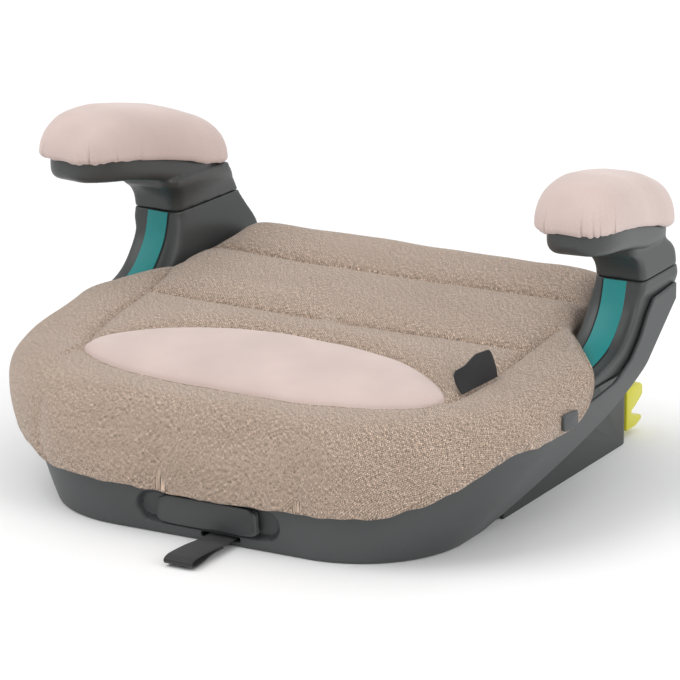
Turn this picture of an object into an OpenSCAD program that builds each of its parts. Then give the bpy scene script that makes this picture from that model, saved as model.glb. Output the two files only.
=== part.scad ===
// Backless booster seat with rear anchor connectors, a pull-out cup holder and padded armrests.
// Origin: middle of the resting face. +X is the sitter's left, -Y is the front, +Z is up.

/* [Outer shell] */
// Half width of the outer shell at its widest
shell_half = 214; // [210:1:216]
// Half width of the outer shell where it meets the floor
foot_half = 159; // [156:1:160]
// Distance from the origin to the shell's front face at the floor
front_reach = 192; // [190:1:194]
// Plan radius of the shell's front corners at the floor
foot_corner = 80; // [70:5:90]
// Thickness of the moulded walls
wall = 3; // [2.5:0.5:3.5]

/* [Seat] */
// Thickness of the seat foam
foam_thick = 26; // [22:1:28]
// Thickness of the woven cover
cover_thick = 2; // [1.5:0.5:2.5]
// Half width of the cushion over the shell's front sides
cushion_half = 215; // [214:0.5:216]
// Distance from the origin to the front of the cushion
cushion_reach = 205; // [203:1:207]

/* [Armrests] */
// Length of each arm pad
pad_length = 181; // [174:1:186]
// Width of each arm pad
pad_width = 67; // [62:1:68]
// Height of each arm pad over its hem
pad_height = 39; // [34:1:42]
// Outward turn of each armrest
toe_out = 7.5; // [5:0.5:9]

/* [Cup holder] */
// Width of the cup holder tray
tray_w = 72; // [70:1:73]
// Radius of the cup ring
cup_r = 31; // [28:1:31]
// Half width of the tray's front panel
panel_half = 41; // [39:1:42]

/* [Anchor connectors] */
// Distance between the middles of the two connectors
anchor_spacing = 280; // [280]
// Width of each connector casing
casing_w = 24; // [22:1:24]

/* [Hidden] */
$fn = 48;

fit_gap = 0.3;          // clearance between pieces that only lie beside each other
shaft_gap = 0.05;       // radial clearance of a running fit
flare_h = 93;           // height at which the shell's flare ends
flare_power = 1.37;
side_end = 117;         // rear end of the shell's side wings
rear_reach = 158;       // rear face of the housing
cover_plate = 3;        // thickness of the bottom cover
seam_z = 154;           // joint between the lower and the upper half of each armrest
dark = [0.22, 0.23, 0.24];
mid_grey = [0.33, 0.34, 0.35];
beige = [0.66, 0.58, 0.50];
pink = [0.85, 0.74, 0.71];
teal = [0.15, 0.55, 0.53];
lime = [0.78, 0.76, 0.15];
steel = [0.62, 0.63, 0.65];
black = [0.08, 0.08, 0.09];

// ---------- lofting helpers ----------
function flat(lists) = [for (l = lists) for (p = l) p];
function unit2(v) = v / norm(v);

// Closed solid through a row of closed loops with the same number of points. The loops run
// anticlockwise, seen from the end that they are stacked towards.
module loft(loops) {
    n = len(loops[0]);
    m = len(loops);
    sides = [for (j = [0 : m - 2], i = [0 : n - 1], k = [0, 1])
        k == 0 ? [j * n + i, (j + 1) * n + i, j * n + (i + 1) % n]
               : [(j + 1) * n + i, (j + 1) * n + (i + 1) % n, j * n + (i + 1) % n]];
    polyhedron(points = flat(loops), faces = concat(
        [[for (i = [0 : n - 1]) i]], sides, [[for (i = [n - 1 : -1 : 0]) (m - 1) * n + i]]));
}

// Points that round a polygon's corners, each by a quadratic arc of the given reach.
function rounded(poly, reach, steps = 4) = [for (i = [0 : len(poly) - 1])
    let (p = poly[i],
         a = p + reach * unit2(poly[(i + len(poly) - 1) % len(poly)] - p),
         b = p + reach * unit2(poly[(i + 1) % len(poly)] - p))
    for (s = [0 : steps]) let (t = s / steps)
        (1 - t) * (1 - t) * a + 2 * t * (1 - t) * p + t * t * b];
function at_z(loop, z) = [for (p = loop) [p[0], p[1], z]];

// ---------- outer shell ----------
function shell_x(z) = shell_half - (shell_half - foot_half) * pow(max(0, 1 - z / flare_h), flare_power);
function shell_front(z) = front_reach + 0.1 * z;
function shell_corner(z) = min(130, foot_corner + 0.8 * z);

// Half outline in plan: u 0-1 runs over the front, 1-2 round the corner, 2-3 along the side.
function plan(u, half, reach, r, y_end) =
    u <= 1 ? [u * (half - r), -reach] :
    u <= 2 ? [half - r + r * sin(90 * (u - 1)), r - reach - r * cos(90 * (u - 1))] :
             [half, r - reach + (u - 2) * (y_end - r + reach)];
function side_y(u) = plan(u, 200, 196, 120, side_end)[1];
// Lower edge of the shell: on the floor in front, then a straight rise towards the arm.
function shell_low(u) = max(0, 0.76 * (side_y(u) + 51));
// Upper edge of the shell: level in front, then up behind the arm.
wing_top = [[-110, 78], [-75, 84], [-45, 86], [-27, 86], [-7, 88], [17, 91], [44, 102], [60, 115], [71, 129],
            [81, 138], [95, 139], [117, 141]];
function shell_high(u) = u <= 1 ? 58 : max(58 + 16 * (u - 1), lookup(side_y(u), wing_top) - (u < 2 ? 8 * (2 - u) : 0));
shell_rows = 9;
shell_us = concat([for (i = [0 : 3]) i / 4], [for (i = [0 : 9]) 1 + i / 10], [for (i = [0 : 24]) 2 + i / 24]);
function shell_point(u, z, inset) =
    let (p = plan(u, shell_x(z) - inset, shell_front(z) - inset, shell_corner(z) - inset, side_end))
    [p[0], p[1], z];
function shell_loop(u) = let (lo = shell_low(u), hi = shell_high(u)) concat(
    [for (j = [0 : shell_rows]) shell_point(u, lo + (hi - lo) * j / shell_rows, 0)],
    [for (j = [shell_rows : -1 : 0]) shell_point(u, lo + (hi - lo) * j / shell_rows, wall)]);

module base_shell() {
    right = [for (u = shell_us) shell_loop(u)];
    left = [for (i = [len(right) - 1 : -1 : 1]) [for (p = right[i]) [-p[0], p[1], p[2]]]];
    color(mid_grey) difference() {
        union() {
            loft([for (l = concat(left, right)) [for (i = [len(l) - 1 : -1 : 0]) l[i]]]);
            for (s = [-1, 1]) translate([s * 118, -150, cover_plate + fit_gap]) {
                cylinder(h = 12, r = 4.4);
                rotate(s > 0 ? -45 : -135) translate([0, -1.2, 0]) cube([26, 2.4, 12]);
            }
        }
        for (s = [-1, 1]) translate([s * 118, -150, 2]) cylinder(h = 11, r = 2.05);
        bezel_mouth();
        translate([-6, -front_reach - 10, cover_plate + fit_gap]) cube([32, 20, 4.2]);
    }
}
// Stadium-shaped opening in the front wall for the drawer and its finger scoops.
mouth_half = 61;
mouth_low = 8.6;
mouth_high = 31;
module bezel_mouth() {
    r = (mouth_high - mouth_low) / 2;
    translate([0, -front_reach - 10, mouth_low + r]) rotate([-90, 0, 0]) linear_extrude(20) {
        square([2 * (mouth_half - r), 2 * r], center = true);
        for (s = [-1, 1]) translate([s * (mouth_half - r), 0]) circle(r);
    }
}

// ---------- bottom cover ----------
plate_half = foot_half - wall - fit_gap;
plate_reach = front_reach - wall - fit_gap;
plate_rear = rear_reach - wall - fit_gap;
plate_corner = foot_corner - wall - fit_gap;
pawl_y = -62;
pawl_z = 24;
bracket_x = [-13, 76];
rail_x = anchor_spacing / 2;
rear_screw_at = [[152, -40], [152, 106], [60, 150.6]];
screw_at = concat(rear_screw_at, [[118, -150]]);
foot_at = [[120, -120], [128, 112]];
foot_r = 11;
module bottom_cover() {
    outline = concat([for (u = [0 : 0.125 : 2]) plan(u, plate_half, plate_reach, plate_corner, 0)],
                     rounded_corner_rear());
    color(dark) difference() {
        union() {
            linear_extrude(cover_plate) polygon(concat(outline,
                [for (i = [len(outline) - 1 : -1 : 1]) [-outline[i][0], outline[i][1]]]));
            for (x = bracket_x) translate([x, pawl_y - 7, cover_plate]) cube([4, 14, pawl_z + 5 - cover_plate]);
            for (s = [-1, 1], e = [-1, 1])
                translate([s * rail_x + e * 4.9 - 1.5, -60, cover_plate - 1]) cube([3, 160, 10]);
        }
        translate([bracket_x[0] - 1, pawl_y, pawl_z]) rotate([0, 90, 0]) cylinder(h = 100, r = 3);
        for (s = [-1, 1], p = screw_at) translate([s * p[0], p[1], -1]) {
            cylinder(h = 3.4, r = 4.4);
            cylinder(h = 6, r = 2.1);
        }
        for (s = [-1, 1], p = foot_at) translate([s * p[0], p[1], -1]) cylinder(h = 2.8, r = foot_r);
    }
}
function rounded_corner_rear() = [for (a = [0 : 15 : 90])
    [plate_half - 12 + 12 * cos(a), plate_rear - 12 + 12 * sin(a)]];

module rubber_feet() {
    color(black) for (s = [-1, 1], p = foot_at) translate([s * p[0], p[1], 0]) cylinder(h = 1.8, r = foot_r);
}
module base_screws() {
    color(steel) for (s = [-1, 1], p = screw_at) translate([s * p[0], p[1], 0]) difference() {
        union() {
            translate([0, 0, 0.4]) cylinder(h = 2, r = 4);
            translate([0, 0, 2.4]) cylinder(h = 10, r = 2);
        }
        cylinder(h = 1.6, r = 1.7, $fn = 6);
    }
}

// ---------- seat surface ----------
// Height of the seat over the plan, before its edge rolls down.
function seat_z(x, y) = 119 + 0.118 * (min(y, 40) + 10) + 0.1 * max(0, y - 40)
    - 4 * pow(abs(x) / 170, 3) * (y < 0 ? 1 : max(0.3, 1 - y / 60));
// Half outline of the cushion: front, round corner, side flap, step in beside the arm, rear.
seat_mid_y = -20;
flap_points = [[1, -20], [0.985, -13], [0.95, -5], [0.9, 8], [0.85, 21], [0.79, 36]];
flap_hem = [[-110, 76], [-50, 76], [-37, 79], [-24.5, 85], [-18.5, 93], [-14, 102], [-7, 108], [8, 109.5],
            [21, 111.5], [36, 114], [46, 106], [120, 106], [150, 108], [158.5, 101], [158.9, 94]];
front_hem = [[0, 34], [134, 38], [165, 48], [185, 60], [205, 76]];
arm_clear_x = 162;
rear_corner = 15;
cushion_rear = 161;
function cushion_outline(inset) =
    let (half = cushion_half - inset, reach = cushion_reach - inset, r = 131 - inset,
         rear_x = arm_clear_x - inset, rear_y = cushion_rear - inset)
    concat([for (i = [0 : 3]) plan(i / 4, half, reach, r, 0)],
           [for (i = [0 : 10]) plan(1 + i / 10, half, reach, r, 0)],
           [for (f = flap_points) [half * f[0], f[1] - inset]],
           [[rear_x + 2, 46 - inset], [rear_x, 78], [rear_x - 6, 112]],
           [for (a = [0 : 22.5 : 90]) [rear_x - 6 - rear_corner + rear_corner * cos(a),
                                       rear_y - rear_corner + rear_corner * sin(a)]],
           [[rear_x * 0.5, rear_y], [0, rear_y]]);
function both_sides(half) = concat(half, [for (i = [len(half) - 2 : -1 : 1]) [-half[i][0], half[i][1]]]);
function hem_z(p) = p[1] > -110 ? lookup(p[1], flap_hem) : lookup(abs(p[0]), front_hem);
// Each row of the cover: how far out it lies, and how far down from the seat to the hem.
seat_rows = [[0.06, 0], [0.35, 0], [0.62, 0], [0.8, 0], [0.89, 0], [0.95, 0.1], [0.985, 0.3], [1, 0.6], [0.995, 1]];
function inward(p, k) = [p[0] * k, (p[1] - seat_mid_y) * k + seat_mid_y];
function seat_ring(row, depth) = let (k = seat_rows[row])
    [for (p = both_sides(cushion_outline(depth)))
        let (q = inward(p, k[0]), top = (row == 0 ? seat_z(0, seat_mid_y) : seat_z(q[0], q[1])) - depth)
        [q[0], q[1], top + (hem_z(p) - top) * k[1]]];
last_row = len(seat_rows) - 1;
module seat_cover() {
    color(beige) difference() {
        loft(concat([for (r = [0 : last_row]) seat_ring(r, cover_thick)],
                    [for (r = [last_row : -1 : 0]) seat_ring(r, 0)]));
        // buttonholes for the hooks
        for (s = [-1, 1]) translate([s * 213 - 6, hook_y - 5.1, hook_z - 2.6]) cube([12, 10.2, 5.2]);
    }
}
function low_ring(outline, k, drop) = [for (p = outline)
    let (q = inward(p, k)) [q[0], q[1], (k < 0.1 ? seat_z(0, seat_mid_y) : seat_z(q[0], q[1])) - drop]];
// The foam ends where the armrests' feet pass under the cover.
function foam_outline() = [for (p = both_sides(cushion_outline(cover_thick + fit_gap)))
    [p[1] > -75 ? sign(p[0]) * min(abs(p[0]), arm_clear_x - 5) : p[0], p[1]]];
function foam_top(k, drop) = low_ring(foam_outline(), k, drop);
module seat_foam() {
    skin = cover_thick + 2 * fit_gap;
    color([0.9, 0.88, 0.8]) loft([foam_top(0.06, foam_thick), foam_top(0.5, foam_thick), foam_top(0.8, foam_thick),
        foam_top(0.94, foam_thick), foam_top(0.965, 18), foam_top(0.93, skin + 5.5), foam_top(0.88, skin + 0.5),
        foam_top(0.78, skin), foam_top(0.6, skin), foam_top(0.35, skin), foam_top(0.06, skin)]);
}
// The smooth panel let into the front of the cover: a pointed oval that follows the seat.
insert_half = 145;
insert_depth = 52;
function insert_loop(t) =
    let (w = max(0.6, insert_depth * pow(max(0, 1 - pow(abs(t), 2.2)), 0.6)), x = insert_half * t, y = -107.5 - 9 * t * t)
    concat([for (v = [-1 : 0.25 : 1]) [x, y + w * v, seat_z(x, y + w * v) + 0.9]],
           [for (v = [1 : -0.25 : -1]) [x, y + w * v, seat_z(x, y + w * v) + 1.6]]);
module cover_insert() { color(pink) loft([for (t = [-1 : 0.0625 : 1]) insert_loop(t)]); }

// ---------- seat pan and rear housing ----------
pan_thick = 3;
pan_gap = 1.2;
pan_rib = 16;
function pan_outline() = both_sides(concat(
    [for (i = [0 : 3]) plan(i / 4, 190, 184, 118, 0)],
    [for (i = [0 : 8]) plan(1 + i / 8, 190, 184, 118, 0)],
    [[188, -48], [158, -44], [154, 0], [154, 100], [150, 132], [136, 142], [70, 142], [0, 142]]));
function pan_ring(k, drop) = low_ring(pan_outline(), k, foam_thick + pan_gap + drop);
module seat_pan() {
    color(dark) {
        loft(concat([for (k = [0.06, 0.4, 0.75, 1]) pan_ring(k, pan_thick)],
                    [for (k = [1, 0.75, 0.4, 0.06]) pan_ring(k, 0)]));
        for (x = [-96 : 48 : 96]) translate([x - 1.5, 0, 0]) rotate([90, 0, 90]) linear_extrude(3) polygon(concat(
            [for (y = [-140 : 20 : 120]) [y, seat_z(x, y) - foam_thick - pan_gap - pan_rib]],
            [for (y = [120 : -20 : -140]) [y, seat_z(x, y) - foam_thick - pan_gap - pan_thick / 2]]));
    }
}

housing_front = -48;
housing_half = foot_half + 0.5;
connector_mouth = 31;
shelf_low = 89.5;
shelf_high = 93.6;
module housing_plan(inset) {
    r = 14 - inset;
    hull() {
        for (s = [-1, 1]) translate([s * (housing_half - 14), rear_reach - 14]) circle(r);
        translate([-housing_half + inset, housing_front - 1]) square([2 * (housing_half - inset), 2]);
    }
}
module rear_housing() {
    color(dark) difference() {
        union() {
            difference() {
                linear_extrude(104) housing_plan(0);
                translate([0, 0, -1]) linear_extrude(110) housing_plan(wall);
                translate([-housing_half + wall, housing_front - 10, -1])
                    cube([2 * (housing_half - wall), 20, 120]);
                // the walls' upper edge follows the underside of the seat pan
                translate([-200, -60, 0]) rotate([90, 0, 90]) linear_extrude(400)
                    polygon([[-10, 78], [60, 85.5], [100, 91], [230, 99.5], [230, 140], [-10, 140]]);
            }
            // shelves under the armrests
            for (s = [-1, 1]) scale([s, 1, 1]) translate([0, 0, shelf_low]) linear_extrude(shelf_high - shelf_low)
                polygon([[housing_half - 1, -34], [204, -34], [206, 66], [164, 148], [housing_half - 1, 150]]);
            for (s = [-1, 1], y = [-20, 40, 100]) translate([s * (housing_half + 1) - 2, y, 60]) cube([4, 3, 32]);
            for (s = [-1, 1], p = rear_screw_at)
                translate([s * p[0], p[1], cover_plate + fit_gap]) cylinder(h = 13, r = 4.6);
        }
        for (s = [-1, 1]) translate([s * rail_x - connector_mouth / 2, 130, cover_plate + 0.5])
            cube([connector_mouth, 40, 35]);
        for (s = [-1, 1], p = rear_screw_at) translate([s * p[0], p[1], 2]) cylinder(h = 11, r = 2.05);
        for (s = [-1, 1], p = screw_spots) translate([s * p[0], p[1], 80]) cylinder(h = 20, r = 2.1);
        translate([0, 0, -1]) linear_extrude(cover_plate + 1.2) translate([-housing_half + wall, housing_front - 5])
            square([2 * (housing_half - wall), 40]);
    }
}

// ---------- armrests (right-hand set; the left is its mirror image) ----------
// Height, front, rear outer and rear inner reach, front inner and rear inner distance from the middle.
lower_rows = [[94, -36, 69, 150, 168, 164], [97, -24, 73, 152, 168, 164], [100, -10, 77, 154, 168, 164],
              [103, 6, 81, 156, 168, 162], [106, 20, 85, 158, 169, 160.5], [110, 31.5, 90, 159, 169.5, 159.5],
              [116, 41, 100, 160, 170, 158.8], [124, 49, 112, 158, 171, 158.5], [132, 55, 121, 152, 171.5, 159.5],
              [140, 58.5, 121, 146, 172.5, 162], [149, 61, 120, 141, 174, 165.5],
              [seam_z - 0.2, 62, 118, 139, 174, 167.5]];
function arm_outer(z) = lookup(z, [[94, 204.5], [100, 205], [103, 207], [106, 209], [110, 210.4]]);
function arm_section(row) = let (z = row[0], xo = z > 145 ? 212.4 : arm_outer(z))
    at_z(rounded([[xo, row[1] + 3], [xo, row[2]], [row[5], row[3]], [row[4], row[1]]], 7), z);
module arm_lower_right() {
    color(dark) difference() {
        loft([for (r = lower_rows) arm_section(r)]);
        guide_recess(0);
        arm_screw_holes();
    }
}
// The belt guide: a strip let into the front face of the arm, along the arm's own front curve.
front_curve = [[103, 6], [106, 20], [110, 31.5], [116, 41], [124, 49], [132, 55], [140, 58.5], [149, 61], [153.4, 61.8]];
function guide_edge(gap) = concat(
    [for (p = front_curve) [p[1] - 1.2 + 0 * gap, p[0]]],
    [for (i = [len(front_curve) - 1 : -1 : 0]) [front_curve[i][1] + 2.5 + gap, front_curve[i][0] - 1.2]]);
module guide_recess(gap) {
    color(teal) translate([182 - gap, 0, 0]) rotate([90, 0, 90]) linear_extrude(18 + 2 * gap) polygon(guide_edge(gap));
}
module belt_guide_right() { guide_recess(-0.1); }
screw_spots = [[184, 76], [178, 106]];
module arm_screw_holes() {
    for (p = screw_spots) translate([p[0], p[1], 90]) cylinder(h = 90, r = 2.05);
}
module arm_screws_right() {
    for (p = screw_spots) translate([p[0], p[1], shelf_low - 2.3]) difference() {
        union() {
            cylinder(h = 2.2, r = 4);
            translate([0, 0, 2.2]) cylinder(h = 76, r = 2);
        }
        translate([0, 0, -0.1]) cylinder(h = 1.6, r = 1.7, $fn = 6);
    }
}
module arm_screws() {
    color(steel) {
        arm_screws_right();
        mirror([1, 0, 0]) arm_screws_right();
    }
}

// The armrest's long axis in plan, and its heights along that axis.
arm_mid = [196.5, 34];
function arm_place(along, across) = [arm_mid[0] - along * sin(toe_out) + across * cos(toe_out),
                                     arm_mid[1] + along * cos(toe_out) + across * sin(toe_out)];
under_curve = [[-85, 210], [-80, 206], [-74, 202.5], [-55, 199], [-34, 195.5], [-8, 190], [14, 182], [30, 174],
               [60, 167], [88, 163]];
hem_curve = [[-95, 215], [-85, 215], [-60, 214.5], [-30, 210.3], [0, 204], [29, 197], [50, 190.3], [76, 184.5],
             [95, 181]];
beam_stations = [-84.6, -82, -77, -70, -60, -47, -32, -15, 0, 14, 28, 44, 60, 74, 83, 86.5];
function beam_half(t) = 26.5 * pow(1 - pow(min(1, abs(t - 1) / 86), 8), 1 / 3);
function beam_loop(t) = let (w = beam_half(t), lo = lookup(t, under_curve), hi = lookup(t, hem_curve) - 1,
                             c = min(8, (hi - lo) * 0.45, w * 0.6))
    [for (q = rounded([[w, lo], [-w, lo], [-w, hi], [w, hi]], c, 3)) let (g = arm_place(t, q[0])) [g[0], g[1], q[1]]];
module arm_upper_right() {
    color(dark) difference() {
        union() {
            loft([for (t = beam_stations) beam_loop(t)]);
            loft([arm_section([seam_z, 62, 118, 139, 174, 167.5]), arm_section([160, 61, 117.5, 137, 174, 168.5]),
                  arm_section([166, 58.5, 116, 133, 174, 169.5]), arm_section([172, 54, 113, 129, 174, 170]),
                  arm_section([178.5, 47, 107, 122, 174.5, 170.5])]);
        }
        for (p = screw_spots) translate([p[0], p[1], 150]) cylinder(h = 19, r = 2.05);
    }
}

// The pad: a long dome over the armrest, blunt in plan and crowned along its length.
function pad_dome(s) = pow(max(0, 1 - pow(abs(s), 3)), 0.62);
function pad_loop(i, n, depth) =
    let (s = -1 + 2 * i / n, half = (pad_width / 2 - depth) * pow(max(0.0005, 1 - pow(abs(s), 4)), 1 / 4),
         len_half = pad_length / 2 - depth, t = s * len_half,
         base = lookup(t, hem_curve), h = (pad_height - depth) * (1 + 0.08 * s) * max(0.02, pad_dome(s)))
    [for (j = [12 : -1 : 0]) let (a = 15 * j, q = arm_place(t, half * cos(a) * pow(abs(cos(a)) + 0.001, -0.25)))
        [q[0], q[1], base + max(0.05, h * pow(sin(a) + 0.0001, 0.8))]];
pad_n = 22;
module pad_solid(depth) { loft([for (i = [0 : pad_n]) pad_loop(i, pad_n, depth)]); }
module arm_cover_right() {
    color(pink) difference() {
        pad_solid(0);
        translate([0, 0, -1]) pad_solid(1.6);
    }
}
module arm_foam_right() { color([0.9, 0.88, 0.8]) pad_solid(3.2); }

// Hooks that hold the cover's side flaps: a stem through the cover's buttonhole and a rounded plate.
hook_y = -60;
hook_z = 82.5;
module cover_hook_right() {
    color(mid_grey) {
        translate([cushion_half + 0.3, hook_y, hook_z + 2.5]) rotate([90, 0, 90])
            linear_extrude(2.4) polygon(rounded([[11, -6.5], [11, 6], [-11, 7.5], [-11, -5]], 3));
        translate([212.3, hook_y - 4.5, hook_z - 2]) cube([cushion_half + 0.8 - 212.3, 9, 4]);
    }
}
// Folded label sewn into the side seam: it stands up from the cover and leans towards the middle.
module cover_tag() {
    color(black) translate([152, -100, seat_z(152, -100)]) rotate([0, 0, 77.8]) rotate([70, 0, 0])
        linear_extrude(1.2) polygon([[0.5, 1.4], [38.5, 5.4], [39, 22], [37, 24], [22, 22], [10, 17.5], [2, 16.5], [0, 14]]);
}

// ---------- cup holder drawer ----------
bezel_y = -front_reach + wall - 0.6;
tray_low = 11.6;
tray_high = 28;
tray_len = 98;
key_len = 109;
module drawer_bezel() {
    color(dark) difference() {
        translate([-64, bezel_y + 3.2, 5.4]) cube([128, 2.4, 31]);
        translate([-tray_w / 2 - 2.8, bezel_y, tray_low - 1]) cube([tray_w + 5.6, 10, tray_high - tray_low + 2]);
        translate([-8, bezel_y, 0]) cube([36, 10, 8.6]);
    }
}
tray_front = -front_reach - 0.2;
module cup_holder() {
    color(dark) difference() {
        union() {
            translate([-tray_w / 2, tray_front + 1.2, tray_low]) cube([tray_w, tray_len, tray_high - tray_low]);
            // side keys, carried past the tray so that they stay in the runners when it is out
            for (s = [-1, 1]) {
                translate([s * (tray_w / 2 + 0.9) - 1.1, tray_front + 12, 18]) cube([2.2, key_len, 3]);
                translate([s * (tray_w / 2 - 2) - 2, tray_front + tray_len - 4, 14]) cube([4, key_len + 16 - tray_len, 10]);
            }
        }
        difference() {
            translate([0, tray_front + 52, tray_low - 1]) cylinder(h = 30, r = cup_r);
            translate([-6, tray_front, tray_low - 2]) cube([12, tray_len, 5]);
        }
        translate([0, tray_front + 52, tray_high - 1.6]) cylinder(h = 3, r = cup_r + 2);
    }
}
module drawer_panel() {
    color(dark) translate([0, tray_front + 1.2, (mouth_low + mouth_high) / 2]) rotate([90, 0, 0])
        linear_extrude(4.6) polygon(rounded([[panel_half, -10.2], [panel_half - 1.5, 10.2],
                                             [-panel_half + 1.5, 10.2], [-panel_half, -10.2]], 4));
}
module drawer_runners() {
    color(dark) for (s = [-1, 1]) difference() {
        translate([s * (tray_w / 2 + 3.7) - 3.3, -182, cover_plate]) cube([6.6, 96, 25]);
        translate([s * (tray_w / 2 + 0.9) - 1.5, -190, 17.6]) cube([3, 120, 3.8]);
    }
}

// ---------- anchor carriage ----------
bar_w = 6;
tube_y = -26;
rack_x = 62;
module isofix_frame() {
    color(steel) difference() {
        union() {
            for (s = [-1, 1]) translate([s * rail_x - bar_w / 2, tube_y - 4, 4]) cube([bar_w, 154, 22]);
            translate([-rail_x, tube_y + 4, 20]) rotate([0, 90, 0]) cylinder(h = 2 * rail_x, r = 7);
            translate([rack_x - 6, tube_y - 124, 33]) cube([12, 130, 6]);
            translate([rack_x - 6, tube_y - 2, 20]) cube([12, 8, 14]);
        }
        for (k = [0 : 20]) translate([rack_x - 7, tube_y - 122 + 5 * k, 32]) cube([14, 2.4, 1.8]);
    }
}
casing_front = 121;
casing_rear = 162;
jaw_y = 147;
jaw_z = 27;
module connector_casing(s) {
    color(dark) translate([s * rail_x, 0, 0]) difference() {
        translate([-casing_w / 2, casing_front, 6]) cube([casing_w, casing_rear - casing_front, 28]);
        // pocket for the jaw and the button's stem, open to the rear
        translate([-6.5, casing_front + 4, 10]) cube([13, 60, 21]);
        translate([-4.5, casing_front + 5, 25]) cube([9, 18, 12]);
        translate([-3.6, casing_front + 23.5, 25]) cube([7.2, 30, 12]);
        translate([-bar_w / 2 - 0.1, casing_front - 1, 3]) cube([bar_w + 0.2, 6, 26]);
        translate([-20, jaw_y, jaw_z]) rotate([0, 90, 0]) cylinder(h = 40, r = 2.5);
    }
}
module jaw_pin(s) {
    color(steel) translate([s * rail_x - casing_w / 2 + 0.4, jaw_y, jaw_z]) rotate([0, 90, 0])
        cylinder(h = casing_w - 0.8, r = 2.5);
}
fork_half = 14.5;
module guide_fork(s) {
    color(lime) translate([s * rail_x - fork_half, 0, 0]) difference() {
        rotate([90, 0, 90]) linear_extrude(2 * fork_half) polygon([
            [casing_rear + 0.2, 4.6], [178, 4.6], [187.5, 7.5], [187.5, 11], [176, 13.5], [171, 16],
            [171, 18.2], [176, 20], [185, 24.5], [189, 27], [189, 34], [185.5, 36.6], [casing_rear + 0.2, 36.6]]);
        // room for the jaw
        translate([fork_half - 3.6, casing_rear - 1, 9]) cube([7.2, 40, 40]);
    }
}
module jaw(s) {
    color(steel) translate([s * rail_x, 0, 0]) difference() {
        translate([-2.5, 0, 0]) rotate([90, 0, 90]) linear_extrude(5) polygon([
            [jaw_y - 9, 24], [jaw_y - 9, 28.5], [jaw_y - 2, 30.6], [165, 29.6], [179, 27.5], [181.5, 24], [181, 13.5],
            [178.5, 13.5], [177.6, 22], [172, 23.6], [160, 22.5], [jaw_y - 3, 22.2]]);
        translate([-4, jaw_y, jaw_z]) rotate([0, 90, 0]) cylinder(h = 8, r = 2.5 + shaft_gap);
    }
}
module jaw_spring(s) {
    color(steel) translate([s * rail_x + 4.3, jaw_y, jaw_z]) rotate([0, 90, 0])
        for (k = [-1.2, 0, 1.2]) translate([0, 0, k]) rotate_extrude() translate([3.4, 0]) circle(0.5);
}
module release_button(s) {
    color(lime) translate([s * rail_x, casing_front, 0]) union() {
        translate([-6, 8.6, 34.3]) cube([12, 11, 3]);
        translate([-3.6, 11.6, 29.4]) cube([7.2, 8, 5.2]);
    }
}
module adjuster_pawl() {
    color(steel) difference() {
        union() {
            translate([bracket_x[0] + 5, pawl_y, pawl_z]) rotate([0, 90, 0]) cylinder(h = 82, r = 5);
            // arm up to the rack, with a toothed head
            translate([rack_x - 5, pawl_y, 0]) rotate([90, 0, 90]) linear_extrude(10)
                polygon([[-3, 26], [3, 20.5], [20, 26], [21, 32.6], [11, 32.6], [9, 30]]);
            // arm down to the pull strap
            for (x = [-4.8, 21.8]) translate([x, pawl_y - 2.5, 4.7]) cube([3, 5, 18]);
            translate([-4.8, pawl_y, 6.5]) rotate([0, 90, 0]) cylinder(h = 29.6, r = 1.5);
        }
        translate([bracket_x[0], pawl_y, pawl_z]) rotate([0, 90, 0]) cylinder(h = 100, r = 3 + shaft_gap);
    }
}
module pawl_pin() {
    color(steel) translate([bracket_x[0] - 0.5, pawl_y, pawl_z]) rotate([0, 90, 0]) cylinder(h = 94, r = 3);
}
module pawl_spring() {
    color(steel) translate([bracket_x[0] + 4.5, pawl_y, pawl_z]) rotate([0, 90, 0])
        translate([0, 0, 83.05]) for (k = [0, 0.9]) translate([0, 0, k]) rotate_extrude() translate([4.2, 0]) circle(0.4);
}
// Webbing loop: round the pawl's lower bar, forward under the tray, and out to a folded end.
strap_x = 10;
strap_w = 24;
strap_tip = -253;
module release_strap() {
    t = 1.1;
    color(black) translate([strap_x - strap_w / 2 + 0.6, 0, 0]) rotate([90, 0, 90]) linear_extrude(strap_w - 1.2) {
        difference() {
            translate([pawl_y, 7.75]) circle(r = 4.3);
            translate([pawl_y, 7.75]) circle(r = 3.2);
        }
        translate([-197, 4]) square([197 + pawl_y - 2.2, t]);
        polygon([[-197, 4], [-196, 5.1], [-244, 5.8], [-251, 6.2], [strap_tip, 4.6], [strap_tip + 0.6, 2.6],
                 [-249, 1.6], [-243, 1.8], [-203, 3.4]]);
    }
}

// ---------- assembly ----------
module left(s = 1) { mirror([1, 0, 0]) children(); }
base_shell();
bottom_cover();
rear_housing();
seat_pan();
seat_foam();
seat_cover();
cover_insert();
cover_tag();
left() arm_lower_right();  // arm_lower_left
arm_lower_right();
left() arm_upper_right();  // arm_upper_left
arm_upper_right();
left() arm_foam_right();  // arm_foam_left
arm_foam_right();
left() arm_cover_right();  // arm_cover_left
arm_cover_right();
left() belt_guide_right();  // belt_guide_left
belt_guide_right();
left() cover_hook_right();  // cover_hook_left
cover_hook_right();
drawer_bezel();
drawer_runners();
cup_holder();
drawer_panel();
isofix_frame();
connector_casing(-1);  // connector_casing_left
connector_casing(1);  // connector_casing_right
guide_fork(-1);  // guide_fork_left
guide_fork(1);  // guide_fork_right
jaw(-1);  // jaw_left
jaw(1);  // jaw_right
jaw_pin(-1);  // jaw_pin_left
jaw_pin(1);  // jaw_pin_right
jaw_spring(-1);  // jaw_spring_left
jaw_spring(1);  // jaw_spring_right
release_button(-1);  // release_button_left
release_button(1);  // release_button_right
adjuster_pawl();
pawl_pin();
pawl_spring();
release_strap();
base_screws();
arm_screws();
rubber_feet();
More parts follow.
